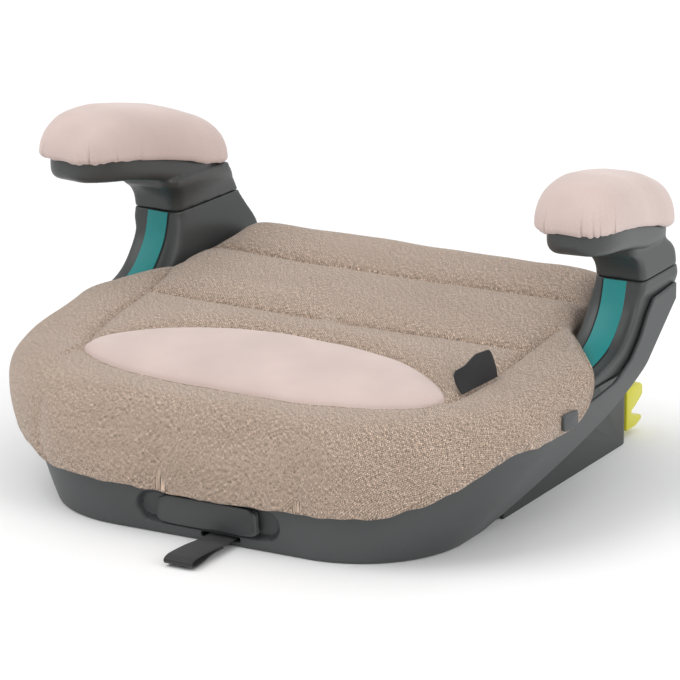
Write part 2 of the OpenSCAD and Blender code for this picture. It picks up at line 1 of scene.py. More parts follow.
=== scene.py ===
"""Covers, mouldings and finishes of a backless booster seat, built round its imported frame.

Shape functions work in millimetres, in the frame's own axes: +X to the sitter's left, -Y to
the front, +Z up. Meshes are written in metres.
"""
import math

import bmesh
import bpy
import numpy as np
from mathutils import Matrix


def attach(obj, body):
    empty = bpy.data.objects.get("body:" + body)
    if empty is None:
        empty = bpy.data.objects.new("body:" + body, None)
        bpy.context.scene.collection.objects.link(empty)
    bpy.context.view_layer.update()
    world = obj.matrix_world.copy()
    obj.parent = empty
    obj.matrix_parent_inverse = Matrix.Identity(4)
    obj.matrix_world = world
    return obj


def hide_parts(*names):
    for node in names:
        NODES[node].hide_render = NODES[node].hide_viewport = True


bl_info = {
    "name": "Booster seat finish",
    "version": (1, 0, 0),
    "blender": (4, 5, 0),
    "location": "View3D > Sidebar > Booster seat",
    "description": "Builds the covers, mouldings and finishes of a booster seat round its frame",
    "category": "Object",
}

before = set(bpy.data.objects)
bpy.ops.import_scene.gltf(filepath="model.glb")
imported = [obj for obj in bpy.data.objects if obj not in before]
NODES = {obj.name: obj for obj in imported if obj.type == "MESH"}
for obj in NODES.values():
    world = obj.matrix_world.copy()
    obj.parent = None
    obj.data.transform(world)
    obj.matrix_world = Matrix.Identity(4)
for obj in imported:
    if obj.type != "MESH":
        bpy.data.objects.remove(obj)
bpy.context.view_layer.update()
MM = 0.001
SIDES = (("left", -1.0), ("right", 1.0))


# ---------------------------------------------------------------- meshes
def table(x, pairs):
    """Value at x on the straight lines between the given pairs."""
    pairs = np.asarray(pairs, float)
    return np.interp(x, pairs[:, 0], pairs[:, 1])


def smoothstep(x, low, high):
    """0 below low, 1 above high, and 3t^2 - 2t^3 between them."""
    t = np.clip((x - low) / (high - low), 0.0, 1.0)
    return t * t * (3.0 - 2.0 * t)


def spline(points, count):
    """Catmull-Rom curve through points, sampled at count even steps of its parameter."""
    p = np.asarray(points, float)
    p = np.vstack([2 * p[0] - p[1], p, 2 * p[-1] - p[-2]])
    u = np.linspace(0, len(p) - 3, count)
    i = np.minimum(u.astype(int), len(p) - 4)
    t = (u - i)[:, None]
    a, b, c, d = p[i], p[i + 1], p[i + 2], p[i + 3]
    return 0.5 * (2 * b + (c - a) * t + (2 * a - 5 * b + 4 * c - d) * t**2 + (3 * b - a - 3 * c + d) * t**3)


def quads(rows, cols, wrap=True, start=0):
    """Quads of a grid of rows by cols points; wrap closes the columns."""
    a, b = np.meshgrid(np.arange(rows - 1), np.arange(cols if wrap else cols - 1), indexing="ij")
    after = (b + 1) % cols
    grid = np.stack([a * cols + b, a * cols + after, (a + 1) * cols + after, (a + 1) * cols + b], -1)
    return (grid.reshape(-1, 4) + start).tolist()


def put_mesh(name, points, faces, uv=None, crease=None):
    """Mesh object from points in mm. uv has one pair per point; crease is an angle in degrees."""
    mesh = bpy.data.meshes.new(name)
    mesh.from_pydata((np.asarray(points, float).reshape(-1, 3) * MM).tolist(), [], faces)
    if uv is not None:
        layer = mesh.uv_layers.new(name="weave")
        corner = np.empty(len(mesh.loops), np.int32)
        mesh.loops.foreach_get("vertex_index", corner)
        layer.data.foreach_set("uv", np.asarray(uv, np.float32).reshape(-1, 2)[corner].ravel())
    turn_outwards(mesh)
    shade(mesh, crease)
    return placed(name, mesh)


def placed(name, mesh):
    """A new object that shows the mesh."""
    piece = bpy.data.objects.new(name, mesh)
    bpy.context.scene.collection.objects.link(piece)
    return piece


def discard(piece):
    """Removes an object and its mesh."""
    mesh = piece.data
    bpy.data.objects.remove(piece)
    bpy.data.meshes.remove(mesh)


def turn_outwards(mesh):
    """Makes every closed part's faces point outwards."""
    work = bmesh.new()
    work.from_mesh(mesh)
    bmesh.ops.recalc_face_normals(work, faces=work.faces)
    work.to_mesh(mesh)
    work.free()


def shade(mesh, crease=None):
    """Smooth shading, with hard edges where faces meet at more than crease degrees."""
    mesh.shade_smooth()
    if crease is not None:
        mesh.set_sharp_from_angle(angle=math.radians(crease))


def skin(name, loops, uv=None, crease=None):
    """Closed surface through rows of closed loops; a fan to its middle closes each end."""
    loops = np.asarray(loops, float)
    rows, cols = loops.shape[:2]
    points = np.vstack([loops.reshape(-1, 3), loops[0].mean(0), loops[-1].mean(0)])
    faces = quads(rows, cols)
    for row, middle in ((0, rows * cols), (rows - 1, rows * cols + 1)):
        ring = np.arange(cols) + row * cols
        faces += np.stack([ring, np.roll(ring, -1), np.full(cols, middle)], -1).tolist()
    if uv is not None:
        uv = np.asarray(uv, float)
        uv = np.vstack([uv.reshape(-1, 2), uv[0].mean(0), uv[-1].mean(0)])
    return put_mesh(name, points, faces, uv, crease)


def joined(name, parts, crease=None):
    """One object made of several, in the order given."""
    work = bmesh.new()
    for part in parts:
        work.from_mesh(part.data)
        discard(part)
    mesh = bpy.data.meshes.new(name)
    work.to_mesh(mesh)
    work.free()
    shade(mesh, crease)
    return placed(name, mesh)


def settle(piece, crease=None):
    """Writes the result of a piece's modifiers into its mesh and removes them."""
    graph = bpy.context.evaluated_depsgraph_get()
    mesh = bpy.data.meshes.new_from_object(
        piece.evaluated_get(graph), preserve_all_data_layers=True, depsgraph=graph)
    piece.modifiers.clear()
    old, piece.data = piece.data, mesh
    bpy.data.meshes.remove(old)
    mesh.name = piece.name
    shade(mesh, crease)
    return piece


def knead(piece, voxel, rounds):
    """Turns overlapping closed parts into one skin of even cells and rounds its edges."""
    cells = piece.modifiers.new("cells", "REMESH")
    cells.mode = "VOXEL"
    cells.voxel_size = voxel * MM
    soft = piece.modifiers.new("soft", "SMOOTH")
    soft.factor = 0.5
    soft.iterations = rounds
    return settle(piece)


def eased(node, name, width=0.6, steps=2):
    """A merged copy of a frame node whose sharp edges are rounded by width, to stand for it."""
    mesh = NODES[node].data.copy()
    mesh.name = name
    work = bmesh.new()
    work.from_mesh(mesh)
    bmesh.ops.remove_doubles(work, verts=work.verts, dist=1e-6)
    bmesh.ops.dissolve_limit(work, angle_limit=math.radians(1.5), verts=work.verts, edges=work.edges)
    work.to_mesh(mesh)
    work.free()
    piece = placed(name, mesh)
    bevel = piece.modifiers.new("edge", "BEVEL")
    bevel.width = width * MM
    bevel.segments = steps
    bevel.limit_method = "ANGLE"
    bevel.angle_limit = math.radians(35)
    settle(piece, 40)
    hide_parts(node)
    return piece


def coat(piece, material):
    """Gives a piece its one material."""
    piece.data.materials.clear()
    piece.data.materials.append(material)


def dress(piece, material, body):
    """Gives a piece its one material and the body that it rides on."""
    coat(piece, material)
    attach(piece, body)


# ---------------------------------------------------------------- materials
class Finish:
    """A material made of nodes that are added and wired one call at a time."""

    def __init__(self, name, color, roughness, **shader):
        self.material = bpy.data.materials.new(name)
        self.material.use_nodes = True
        self.nodes = self.material.node_tree.nodes
        self.links = self.material.node_tree.links
        self.nodes.clear()
        out = self.nodes.new("ShaderNodeOutputMaterial")
        self.shader = self.nodes.new("ShaderNodeBsdfPrincipled")
        self.links.new(self.shader.outputs[0], out.inputs["Surface"])
        self.shader.inputs["Base Color"].default_value = (*color, 1.0)
        self.shader.inputs["Roughness"].default_value = roughness
        for key, value in shader.items():
            self.shader.inputs[key.replace("_", " ").title().replace("Ior", "IOR")].default_value = value
        self.coords = self.nodes.new("ShaderNodeTexCoord")
        self.material.diffuse_color = (*color, 1.0)

    def wire(self, node, key, value):
        """Links a socket to a node's input, or sets the input to a value."""
        if isinstance(value, bpy.types.NodeSocket):
            self.links.new(value, node.inputs[key])
        else:
            node.inputs[key].default_value = value

    def math(self, operation, *values):
        """The result of one operation on sockets or numbers."""
        node = self.nodes.new("ShaderNodeMath")
        node.operation = operation
        for i, value in enumerate(values):
            self.wire(node, i, value)
        return node.outputs[0]

    def spread(self, source, scale):
        """source's coordinates times scale, one factor for each axis."""
        node = self.nodes.new("ShaderNodeMapping")
        self.wire(node, "Vector", source)
        node.inputs["Scale"].default_value = scale
        return node.outputs[0]

    def noise(self, source, scale, detail=2.0, rough=0.5):
        """Cloudy values about a half."""
        node = self.nodes.new("ShaderNodeTexNoise")
        self.wire(node, "Vector", source)
        node.inputs["Scale"].default_value = scale
        node.inputs["Detail"].default_value = detail
        node.inputs["Roughness"].default_value = rough
        return node.outputs["Fac"]

    def ramp(self, value, *stops):
        """Colour from value along stops of (position, colour)."""
        node = self.nodes.new("ShaderNodeValToRGB")
        self.wire(node, "Fac", value)
        band = node.color_ramp
        while len(band.elements) < len(stops):
            band.elements.new(0.5)
        for element, (place, color) in zip(band.elements, stops):
            element.position = place
            element.color = (*color, 1.0)
        return node.outputs["Color"]

    def mix(self, factor, a, b, blend="MIX"):
        """Blend of two colours or colour sockets."""
        node = self.nodes.new("ShaderNodeMix")
        node.data_type = "RGBA"
        node.blend_type = blend
        self.wire(node, 0, factor)
        self.wire(node, 6, a if isinstance(a, bpy.types.NodeSocket) else (*a, 1.0))
        self.wire(node, 7, b if isinstance(b, bpy.types.NodeSocket) else (*b, 1.0))
        return node.outputs[2]

    def bump(self, height, strength, distance):
        """Raises the surface by height."""
        node = self.nodes.new("ShaderNodeBump")
        node.inputs["Strength"].default_value = strength
        node.inputs["Distance"].default_value = distance
        self.wire(node, "Height", height)
        self.links.new(node.outputs[0], self.shader.inputs["Normal"])

    def color(self, socket):
        """Sets the base colour."""
        self.links.new(socket, self.shader.inputs["Base Color"])

    def roughness(self, low, high, value):
        """Roughness from low to high as value goes from 0 to 1."""
        node = self.nodes.new("ShaderNodeMapRange")
        self.wire(node, "Value", value)
        node.inputs["To Min"].default_value = low
        node.inputs["To Max"].default_value = high
        self.links.new(node.outputs[0], self.shader.inputs["Roughness"])


def shades(color, *factors):
    """The colour times each factor."""
    return [tuple(c * f for c in color) for f in factors]


def weave_axes(finish):
    """The two axes of the cloth's own map, in metres."""
    split = finish.nodes.new("ShaderNodeSeparateXYZ")
    finish.links.new(finish.coords.outputs["UV"], split.inputs[0])
    return split.outputs["X"], split.outputs["Y"]


def woven_finish(name, color, pitch):
    """Melange basket weave: warp and weft yarns cross over and under in turn, and each short length
    of yarn has its own shade, with a few pale slubs."""
    f = Finish(name, color, 0.9, sheen_weight=0.25, sheen_roughness=0.5, specular_ior_level=0.25)
    u, v = weave_axes(f)
    turn = math.pi / (pitch * MM)
    wave_u = f.math("SINE", f.math("MULTIPLY", u, turn))
    wave_v = f.math("SINE", f.math("MULTIPLY", v, turn))
    side = f.math("MULTIPLY_ADD", f.math("MULTIPLY", wave_u, wave_v), 2.2, 0.5)
    side.node.use_clamp = True
    warp = f.math("ABSOLUTE", f.math("SINE", f.math("MULTIPLY", u, turn * 2)))
    weft = f.math("ABSOLUTE", f.math("SINE", f.math("MULTIPLY", v, turn * 2)))
    height = f.math("ADD", f.math("MULTIPLY", warp, side),
                    f.math("MULTIPLY", weft, f.math("SUBTRACT", 1.0, side)))
    uv = f.coords.outputs["UV"]
    along = f.noise(f.spread(uv, (1900, 420, 1)), 1.0, 1.0)
    across = f.noise(f.spread(uv, (300, 1900, 1)), 1.0, 1.0)
    yarn = f.math("ADD", f.math("MULTIPLY", along, side),
                  f.math("MULTIPLY", across, f.math("SUBTRACT", 1.0, side)))
    dark, low, high, fleck = shades(color, 0.3, 0.66, 1.32, 2.1)
    tint = f.ramp(yarn, (0.3, dark), (0.45, low), (0.56, high), (0.7, fleck))
    tint = f.mix(0.8, tint, f.ramp(side, (0.2, (0.66, 0.63, 0.6)), (0.8, (1.28, 1.29, 1.3))), "MULTIPLY")
    patch = f.noise(f.spread(uv, (14, 60, 1)), 1.0, 2.0)
    tint = f.mix(0.3, tint, f.ramp(patch, (0.3, (0.84, 0.82, 0.8)), (0.7, (1.1, 1.1, 1.12))), "MULTIPLY")
    # Painted shade: the colour is darkened where the weave's height is low, in the gaps between the yarns.
    gap_shade = f.ramp(height, (0.05, (0.5, 0.46, 0.43)), (0.55, (1.04, 1.04, 1.04)))
    f.color(f.mix(0.75, tint, gap_shade, "MULTIPLY"))
    f.bump(f.math("MULTIPLY_ADD", yarn, 0.4, height), 0.45, 0.0004)
    return f.material


def knit_finish(name, color):
    """Fine smooth knit: rows of tiny ribs, a soft sheen and a faint cloudy variation."""
    f = Finish(name, color, 0.82, sheen_weight=0.3, sheen_roughness=0.4, specular_ior_level=0.3)
    u, v = weave_axes(f)
    turn = 2 * math.pi / (0.9 * MM)
    rib = f.math("ADD", f.math("SINE", f.math("MULTIPLY", u, turn)),
                 f.math("MULTIPLY", f.math("SINE", f.math("MULTIPLY", v, turn * 0.7)), 0.6))
    uv = f.coords.outputs["UV"]
    pale, deep = shades(color, 1.05, 0.9)
    cloud = f.ramp(f.noise(uv, 16.0, 3.0), (0.3, deep), (0.7, pale))
    speck = f.ramp(f.noise(uv, 1400.0, 2.0), (0.3, (0.9, 0.88, 0.88)), (0.7, (1.05, 1.05, 1.05)))
    f.color(f.mix(0.8, cloud, speck, "MULTIPLY"))
    f.bump(f.math("ADD", rib, f.math("MULTIPLY", f.noise(uv, 700.0), 2.0)), 0.12, 0.0002)
    return f.material


def moulded_finish(name, color, low=0.42, high=0.55, grain=0.12):
    """Moulded plastic: eroded grain from the mould, a slightly uneven gloss and a faint clouding."""
    f = Finish(name, color, low, specular_ior_level=0.5)
    where = f.coords.outputs["Object"]
    fine = f.noise(where, 1900.0, 3.0, 0.6)
    broad = f.noise(where, 14.0, 3.0)
    dim, bright = shades(color, 0.9, 1.1)
    flecks = f.ramp(fine, (0.35, (0.94, 0.94, 0.94)), (0.65, (1.06, 1.06, 1.06)))
    f.color(f.mix(0.8, f.ramp(broad, (0.3, dim), (0.7, bright)), flecks, "MULTIPLY"))
    f.roughness(low, high, f.math("ADD", f.math("MULTIPLY", fine, 0.5), f.math("MULTIPLY", broad, 0.5)))
    f.bump(fine, grain, 0.00025)
    return f.material


def metal_finish(name, color):
    """Zinc-plated steel: long drawn scratches and a cloudy plating."""
    f = Finish(name, color, 0.32, metallic=0.95)
    where = f.coords.outputs["Object"]
    drawn = f.noise(f.spread(where, (40, 1600, 1600)), 1.0, 3.0)
    cloud = f.noise(where, 60.0, 3.0)
    dim, bright = shades(color, 0.75, 1.08)
    f.color(f.ramp(cloud, (0.3, dim), (0.7, bright)))
    f.roughness(0.22, 0.5, drawn)
    f.bump(drawn, 0.08, 0.0001)
    return f.material


def tape_finish(name, color, pitch, sheen):
    """Woven tape: ribs across its length with a small herringbone, on the cloth's own map. The colour is
    painted lighter on each rib's crest and darker in its troughs, as painted highlight and painted shade.
    """
    f = Finish(name, color, 0.6, sheen_weight=sheen, specular_ior_level=0.4)
    u, v = weave_axes(f)
    turn = 2 * math.pi / (pitch * MM)
    rib = f.math("SINE", f.math("MULTIPLY", v, turn))
    cross = f.math("SINE", f.math("MULTIPLY", f.math("ADD", u, f.math("ABSOLUTE", v)), turn * 0.7))
    pale, deep = shades(color, 1.7, 0.6)
    # Painted highlight and shade: the colour follows the rib's height, pale on the crests and deep in the
    # troughs.
    f.color(f.ramp(f.math("MULTIPLY_ADD", rib, 0.3, 0.5), (0.1, deep), (0.9, pale)))
    f.bump(f.math("ADD", rib, f.math("MULTIPLY", cross, 0.5)), 0.3, 0.0002)
    return f.material


# ---------------------------------------------------------------- the seat's shape
# FLAP_EDGE is (share of the half width, y), FLAP_HEM and WING_TOP (y, z), FRONT_HEM (distance from
# the middle, z) and SIDE_SEAM (y, distance from the middle). A channel is its y in the middle and how
# far its ends lie behind that. DARTS are x.
CUSHION_HALF = 215.0
CUSHION_REACH = 205.0
CUSHION_CORNER = 131.0
SEAT_MIDDLE_Y = -20.0
REAR_X = 162.0
REAR_Y = 161.0
REAR_CORNER = 15.0
FLAP_EDGE = ((1, -20), (0.985, -13), (0.95, -5), (0.9, 8), (0.85, 21), (0.79, 36))
FLAP_HEM = ((-110, 76), (-50, 76), (-37, 79), (-24.5, 85), (-18.5, 93), (-14, 102), (-7, 108), (8, 109.5),
            (21, 111.5), (36, 114), (46, 106), (120, 106), (150, 108), (158.5, 101), (159.5, 94))
FRONT_HEM = ((0, 34), (134, 38), (165, 48), (185, 60), (205, 76))
WING_TOP = ((-110, 78), (-75, 84), (-45, 86), (-27, 86), (-7, 88), (17, 91), (44, 102), (60, 115), (71, 129),
            (81, 138), (95, 139), (117, 141))
REAR_CHANNEL = (75.0, 6.0)
MIDDLE_CHANNEL = (-19.0, 9.0)
SIDE_SEAM = ((-118, 146), (-95, 153), (-60, 156.5), (-19, 157), (20, 160), (44, 165))
DARTS = (-142.0, -35.0, 77.0, 157.0)
INSERT_HALF = 146.0


def seat_height(x, y):
    """Height of the seat before its relief: two slopes to the rear, less a cubic fall to the sides."""
    side = np.where(y < 0, 1.0, np.maximum(0.3, 1 - y / 60))
    return (119 + 0.118 * (np.minimum(y, 40) + 10) + 0.1 * np.maximum(0, y - 40)
            - 4 * (np.abs(x) / 170) ** 3 * side)


def rear_fall(y):
    """How far the roll behind the rear channel falls below the seat's slope."""
    return 13 * smoothstep(y, 112, 164) ** 1.3


def insert_edges(x):
    """Middle line and half depth of the smooth panel at x: a pointed oval on a sagging line."""
    t = np.clip(np.abs(x) / INSERT_HALF, 0, 1)
    return -107.5 - 9 * t * t, 52 * np.maximum(0, 1 - t**2.2) ** 0.6


def seam_distances(x, y):
    """Distance to each sewn line: two channels, the side seams and the smooth panel's edge."""
    ax = np.abs(x)
    far = 60.0
    rear = np.abs(y - REAR_CHANNEL[0] - REAR_CHANNEL[1] * (x / 152) ** 2) + far * smoothstep(ax, 154, 166)
    middle = (np.abs(y - MIDDLE_CHANNEL[0] - MIDDLE_CHANNEL[1] * (x / 154) ** 2)
              + far * smoothstep(ax, 155, 163))
    seam_x = table(y, SIDE_SEAM)
    side = np.abs(ax - seam_x) + far * (smoothstep(-y, 116, 132) + smoothstep(y, 44, 60))
    mid_y, depth = insert_edges(x)
    slope = np.abs(insert_edges(x + 0.5)[1] - insert_edges(x - 0.5)[1])
    panel = np.abs(depth - np.abs(y - mid_y)) / np.sqrt(1 + np.minimum(slope, 6) ** 2)
    beyond = np.maximum(ax - INSERT_HALF, 0)
    panel = np.where(ax < INSERT_HALF, panel, np.hypot(beyond, y + 116.5))
    return rear, middle, side, panel


def seat_relief(x, y):
    """Padding between the seams: it rises as 1 - exp(-d/w) from each sewn line, with a sharp groove
    at the line and slow waves that keep the cloth from looking machined."""
    rear, middle, side, panel = seam_distances(x, y)
    d = sum((np.abs(part) + 0.01) ** -4.0 for part in (rear, middle, side, panel * 1.5 + 2)) ** -0.25
    rise = 6.5 * (1 - np.exp(-d / 11.0)) - 2.5
    rise = rise - 1.9 * np.exp(-(rear / 1.9) ** 2) - 1.9 * np.exp(-(middle / 1.9) ** 2)
    rise = rise - 1.9 * np.exp(-(side / 1.8) ** 2) - 0.3 * np.exp(-(panel / 2.5) ** 2)
    waves = (np.sin(x / 23.0 + 1.3 + np.sin(y / 31.0)) * np.sin(y / 27.0 + 0.4 + 0.8 * np.sin(x / 41.0))
             + 0.6 * np.sin(x / 11.0 + y / 17.0) * np.sin(y / 13.0 - x / 29.0))
    pucker = np.sin((x + 0.35 * y) / 1.9) * np.exp(-np.minimum(rear, middle) / 5.0) * 0.22
    shoulder = 1.6 * np.exp(-((np.abs(x) - 118) / 22) ** 2 - ((y - 122) / 20) ** 2)
    return rise + 0.45 * waves + pucker + shoulder


def closed_outline(count):
    """The cushion's outline at even steps, anticlockwise from the middle of the front."""
    half, reach, r = CUSHION_HALF, CUSHION_REACH, CUSHION_CORNER
    a = np.linspace(0, math.pi / 2, 40)
    front = np.stack([half - r + r * np.sin(a), r - reach - r * np.cos(a)], -1)
    flap = np.array([(half * k, y) for k, y in FLAP_EDGE])
    side = np.array([(REAR_X + 2, 46), (REAR_X, 78), (REAR_X - 6, 112)])
    b = np.linspace(0, math.pi / 2, 10)
    middle = np.array([REAR_X - 6 - REAR_CORNER, REAR_Y - REAR_CORNER])
    rear = middle + REAR_CORNER * np.stack([np.cos(b), np.sin(b)], -1)
    right = np.vstack([[(0, -reach)], front, flap, side, rear, [(0, REAR_Y)]])
    ring = np.vstack([right, right[-2:0:-1] * (-1, 1)])
    ring = np.vstack([ring, ring[:1]])
    length = np.concatenate([[0], np.cumsum(np.linalg.norm(np.diff(ring, axis=0), axis=1))])
    at = np.linspace(0, length[-1], count, endpoint=False)
    even = np.stack([np.interp(at, length, ring[:, 0]), np.interp(at, length, ring[:, 1])], -1)
    return blur(even, 1.8), length[-1]


def blur(values, sigma):
    """Gaussian blur round a closed row of values."""
    reach = int(4 * sigma) + 1
    k = np.arange(-reach, reach + 1)
    w = np.exp(-0.5 * (k / sigma) ** 2)
    w /= w.sum()
    return sum(wi * np.roll(values, -ki, axis=0) for ki, wi in zip(k, w))


def hem_height(p):
    """Height of the cover's lower edge: set by x in front and by y along the sides."""
    return np.where(p[:, 1] > -110, table(p[:, 1], FLAP_HEM), table(np.abs(p[:, 0]), FRONT_HEM))


def outward(ring):
    """Unit vectors square to a closed outline in plan, pointing out."""
    tangent = np.roll(ring, -1, axis=0) - np.roll(ring, 1, axis=0)
    normal = np.stack([tangent[:, 1], -tangent[:, 0]], -1)
    return normal / np.linalg.norm(normal, axis=1, keepdims=True)


EDGE_ROLL = ((0.84, 0), (0.89, 0.006), (0.93, 0.045), (0.962, 0.14), (0.985, 0.3), (0.998, 0.5),
             (1.0, 0.66), (0.998, 0.84), (0.992, 1.0))


def seat_rows():
    """Rows of the cover from its middle out: share of the outline, and share of the drop to the hem."""
    flat = np.stack([np.linspace(0.05, 0.84, 96), np.zeros(96)], -1)
    return np.vstack([flat[:-1], spline(EDGE_ROLL, 40)])


def drawn_in(ring, k):
    """The outline drawn in to share k of its size about the seat's middle."""
    return np.stack([ring[:, 0] * k, (ring[:, 1] - SEAT_MIDDLE_Y) * k + SEAT_MIDDLE_Y], -1)


def cover_points(ring, hem, k, drop):
    """Points of the cover's outer face over the outline ring at share k, dropped towards the hem."""
    q = drawn_in(ring, k)
    top = seat_height(q[:, 0], q[:, 1]) - rear_fall(q[:, 1])
    fade = 1 - smoothstep(drop, 0.0, 0.5)
    z = top + seat_relief(q[:, 0], q[:, 1]) * fade * (1 - 0.6 * smoothstep(k, 0.88, 1.0))
    return np.stack([q[:, 0], q[:, 1], z + (hem - top) * drop], -1)


def skirt_folds(ring, steps, drop):
    """How far the skirt leans in or out: four sewn darts and gathers that grow towards the hem."""
    s = np.arange(len(ring)) * steps
    front = ring[:, 1] < -60
    fold = np.zeros(len(ring))
    for x in DARTS:
        sink = np.exp(-((ring[:, 0] - x) / 4.5) ** 2) * 1.4 + np.exp(-((ring[:, 0] - x) / 11) ** 2) * 1.5
        fold -= np.where(front & (ring[:, 1] < -90), sink, 0) * smoothstep(drop, 0.08, 0.5)
    gather = (np.sin(s / 5.3 + 2 * np.sin(s / 37.0)) + 0.7 * np.sin(s / 3.1 + 1.5 * np.sin(s / 23.0)))
    fold += 0.55 * gather * smoothstep(drop, 0.72, 1.0) * front
    swell = 0.8 * np.sin(s / 29.0 + 1.0) + 0.5 * np.sin(s / 16.0 + 2.0)
    return fold + swell * front * drop


def make_cushion():
    """The padded woven cover: rows of the rounded outline from the middle of the seat, over the
    rolled edge and down the skirt, then back under the foam to close the pad."""
    ring, length = closed_outline(600)
    step = length / len(ring)
    hem = blur(hem_height(ring)[:, None], 2.7)[:, 0]
    s = np.arange(len(ring)) * step
    front = ring[:, 1] < -60
    wave = 0.5 * np.sin(s / 5.6 + 2 * np.sin(s / 31.0)) + 0.3 * np.sin(s / 3.1 + np.sin(s / 19.0))
    hem = hem + front * wave
    normal = outward(ring)
    rows, maps, run = [], [], np.zeros(len(ring))
    for k, drop in seat_rows():
        row = cover_points(ring, hem, k, drop)
        if drop > 0:
            row[:, :2] += normal * skirt_folds(ring, step, drop)[:, None]
        if rows:
            run = run + np.where(drop > 0, np.linalg.norm(row - rows[-1], axis=1)
                                 - np.linalg.norm((row - rows[-1])[:, :2], axis=1), 0)
        rows.append(row)
        maps.append(row[:, :2] + normal * run[:, None])
    high = np.where(front, 58 + 16 * smoothstep(np.abs(ring[:, 0]), 84, 190), table(ring[:, 1], WING_TOP))
    top = seat_height(ring[:, 0], ring[:, 1]) - rear_fall(ring[:, 1])
    lift = np.clip(np.maximum(hem + 2, high + 3), hem + 1, np.maximum(top - 6, hem + 1.2))
    tucked = np.minimum(lift + 0.3, top - 5)
    for k, z in ((0.988, hem - 0.4), (0.981, hem + 0.8), (0.981, lift), (0.955, tucked)):
        q = drawn_in(ring, k)
        rows.append(np.column_stack([q, z]))
        maps.append(maps[-1] + normal)
    for k in (0.93, 0.8, 0.6, 0.35, 0.06):
        q = drawn_in(ring, k)
        thin = smoothstep(np.abs(q[:, 0]), 152, 160) * smoothstep(q[:, 1], -90, -70)
        under = seat_height(q[:, 0], q[:, 1]) - 26 + 22 * thin
        rows.append(np.column_stack([q, under]))
        maps.append(maps[-1] + normal)
    outer = np.array(rows[:len(seat_rows())])
    return skin("seat_cushion", rows, np.array(maps) * MM), outer, normal


def make_insert():
    """The smooth panel: across its pointed oval it follows the cover, crowned in the middle and
    tucked into the seam round its edge; a second layer closes it below."""
    n, m = 200, 48
    t = np.sin(np.linspace(-math.pi / 2, math.pi / 2, n))[:, None]
    v = np.sin(np.linspace(-math.pi / 2, math.pi / 2, m))[None, :]
    reach = INSERT_HALF - 0.4
    x = np.repeat(reach * t, m, axis=1)
    mid_y, depth = insert_edges(x)
    y = mid_y + np.maximum(depth, 0.3) * v
    inside = np.clip(1 - np.abs(v), 0, 1) * np.maximum(depth, 0.3)
    ends = reach - np.abs(x)
    edge = np.minimum(inside, ends + 1e-6)
    z = seat_height(x, y) + seat_relief(x, y)
    upper = z - 0.5 + 1.4 * smoothstep(edge, 0.0, 3.0) + 1.2 * (1 - np.exp(-edge / 14.0))
    lower = z - 2.2
    loops = np.concatenate([np.stack([x, y, upper], -1), np.stack([x, y, lower], -1)[:, ::-1]], axis=1)
    return skin("seat_insert", loops, loops[..., :2] * MM, 60)


def climb(outer):
    """Distance of each point of the cover's outer rows up from the hem."""
    step = np.linalg.norm(np.diff(outer, axis=0), axis=2)
    return np.vstack([np.cumsum(step[::-1], axis=0)[::-1], np.zeros(outer.shape[1])])


def flap_columns(hem, sign, inner, front, rear):
    """Columns of the cover whose hem is on one side flap, beyond inner and between front and rear."""
    keep = np.flatnonzero((hem[:, 0] * sign > inner) & (hem[:, 1] > front) & (hem[:, 1] < rear))
    return keep[np.argsort(hem[keep, 1])]


def above_hem(outer, from_hem, column, distance):
    """The point of one column of the cover at a distance up from its hem."""
    return [np.interp(-distance, -from_hem[:, column], outer[:, column, axis]) for axis in range(3)]


def sewn_rows(outer, normal):
    """Two rows of stitches along each side flap's free edge, at fixed distances up from its hem."""
    from_hem = climb(outer)
    runs = []
    for inset in (4.5, 7.5):
        for sign in (-1, 1):
            keep = flap_columns(outer[-1], sign, 158, -46, 44)
            run = np.array([above_hem(outer, from_hem, i, inset) for i in keep])
            runs.append(run + np.column_stack([normal[keep] * 0.12, np.full(len(keep), 0.1)]))
    return stitches("flap_stitching", runs, 3.4, 2.5, 0.32)


def make_bindings(outer, normal):
    """A turned hem along each side flap's edge: a band 4 mm wide, raised as a flat half ellipse."""
    from_hem = climb(outer)
    across = np.linspace(0, 1, 9)
    parts = []
    for sign in (-1, 1):
        keep = flap_columns(outer[-1], sign, 155, -56, 70)
        band = np.array([[above_hem(outer, from_hem, i, 4.2 * d + 0.1) for d in across] for i in keep])
        ahead = np.gradient(band, axis=0)
        over = np.gradient(band, axis=1)
        face = np.cross(ahead, over)
        face /= np.linalg.norm(face, axis=2, keepdims=True)
        face *= np.sign((face[..., :2] * normal[keep][:, None]).sum(2) + 0.3 * face[..., 2])[..., None]
        lift = (0.25 + 0.75 * np.sqrt(1 - (2 * across - 1) ** 2))[None, :, None]
        loops = np.concatenate([band + face * lift, (band - face * 0.4)[:, ::-1]], axis=1)
        parts.append(skin("binding", loops, loops[..., 1:] * MM))
    return joined("flap_binding", parts)


def seam_shade_threads():
    """Thread laid in the channels and along the side seams; its dark colour is partly the thread's own and
    partly painted shade for the sewn grooves.
    """
    runs = []
    x = np.linspace(-152, 152, 220)
    for middle, sag in (REAR_CHANNEL, MIDDLE_CHANNEL):
        runs.append(np.column_stack([x, middle + sag * (x / 153) ** 2]))
    y = np.linspace(-116, 42, 130)
    for sign in (-1, 1):
        runs.append(np.column_stack([sign * table(y, SIDE_SEAM), y]))
    lifted = []
    for run in runs:
        z = seat_height(run[:, 0], run[:, 1]) - rear_fall(run[:, 1]) + seat_relief(run[:, 0], run[:, 1])
        lifted.append(np.column_stack([run, z + 0.25]))
    return stitches("seam_shade_thread", lifted, 3.0, 2.9, 0.42)


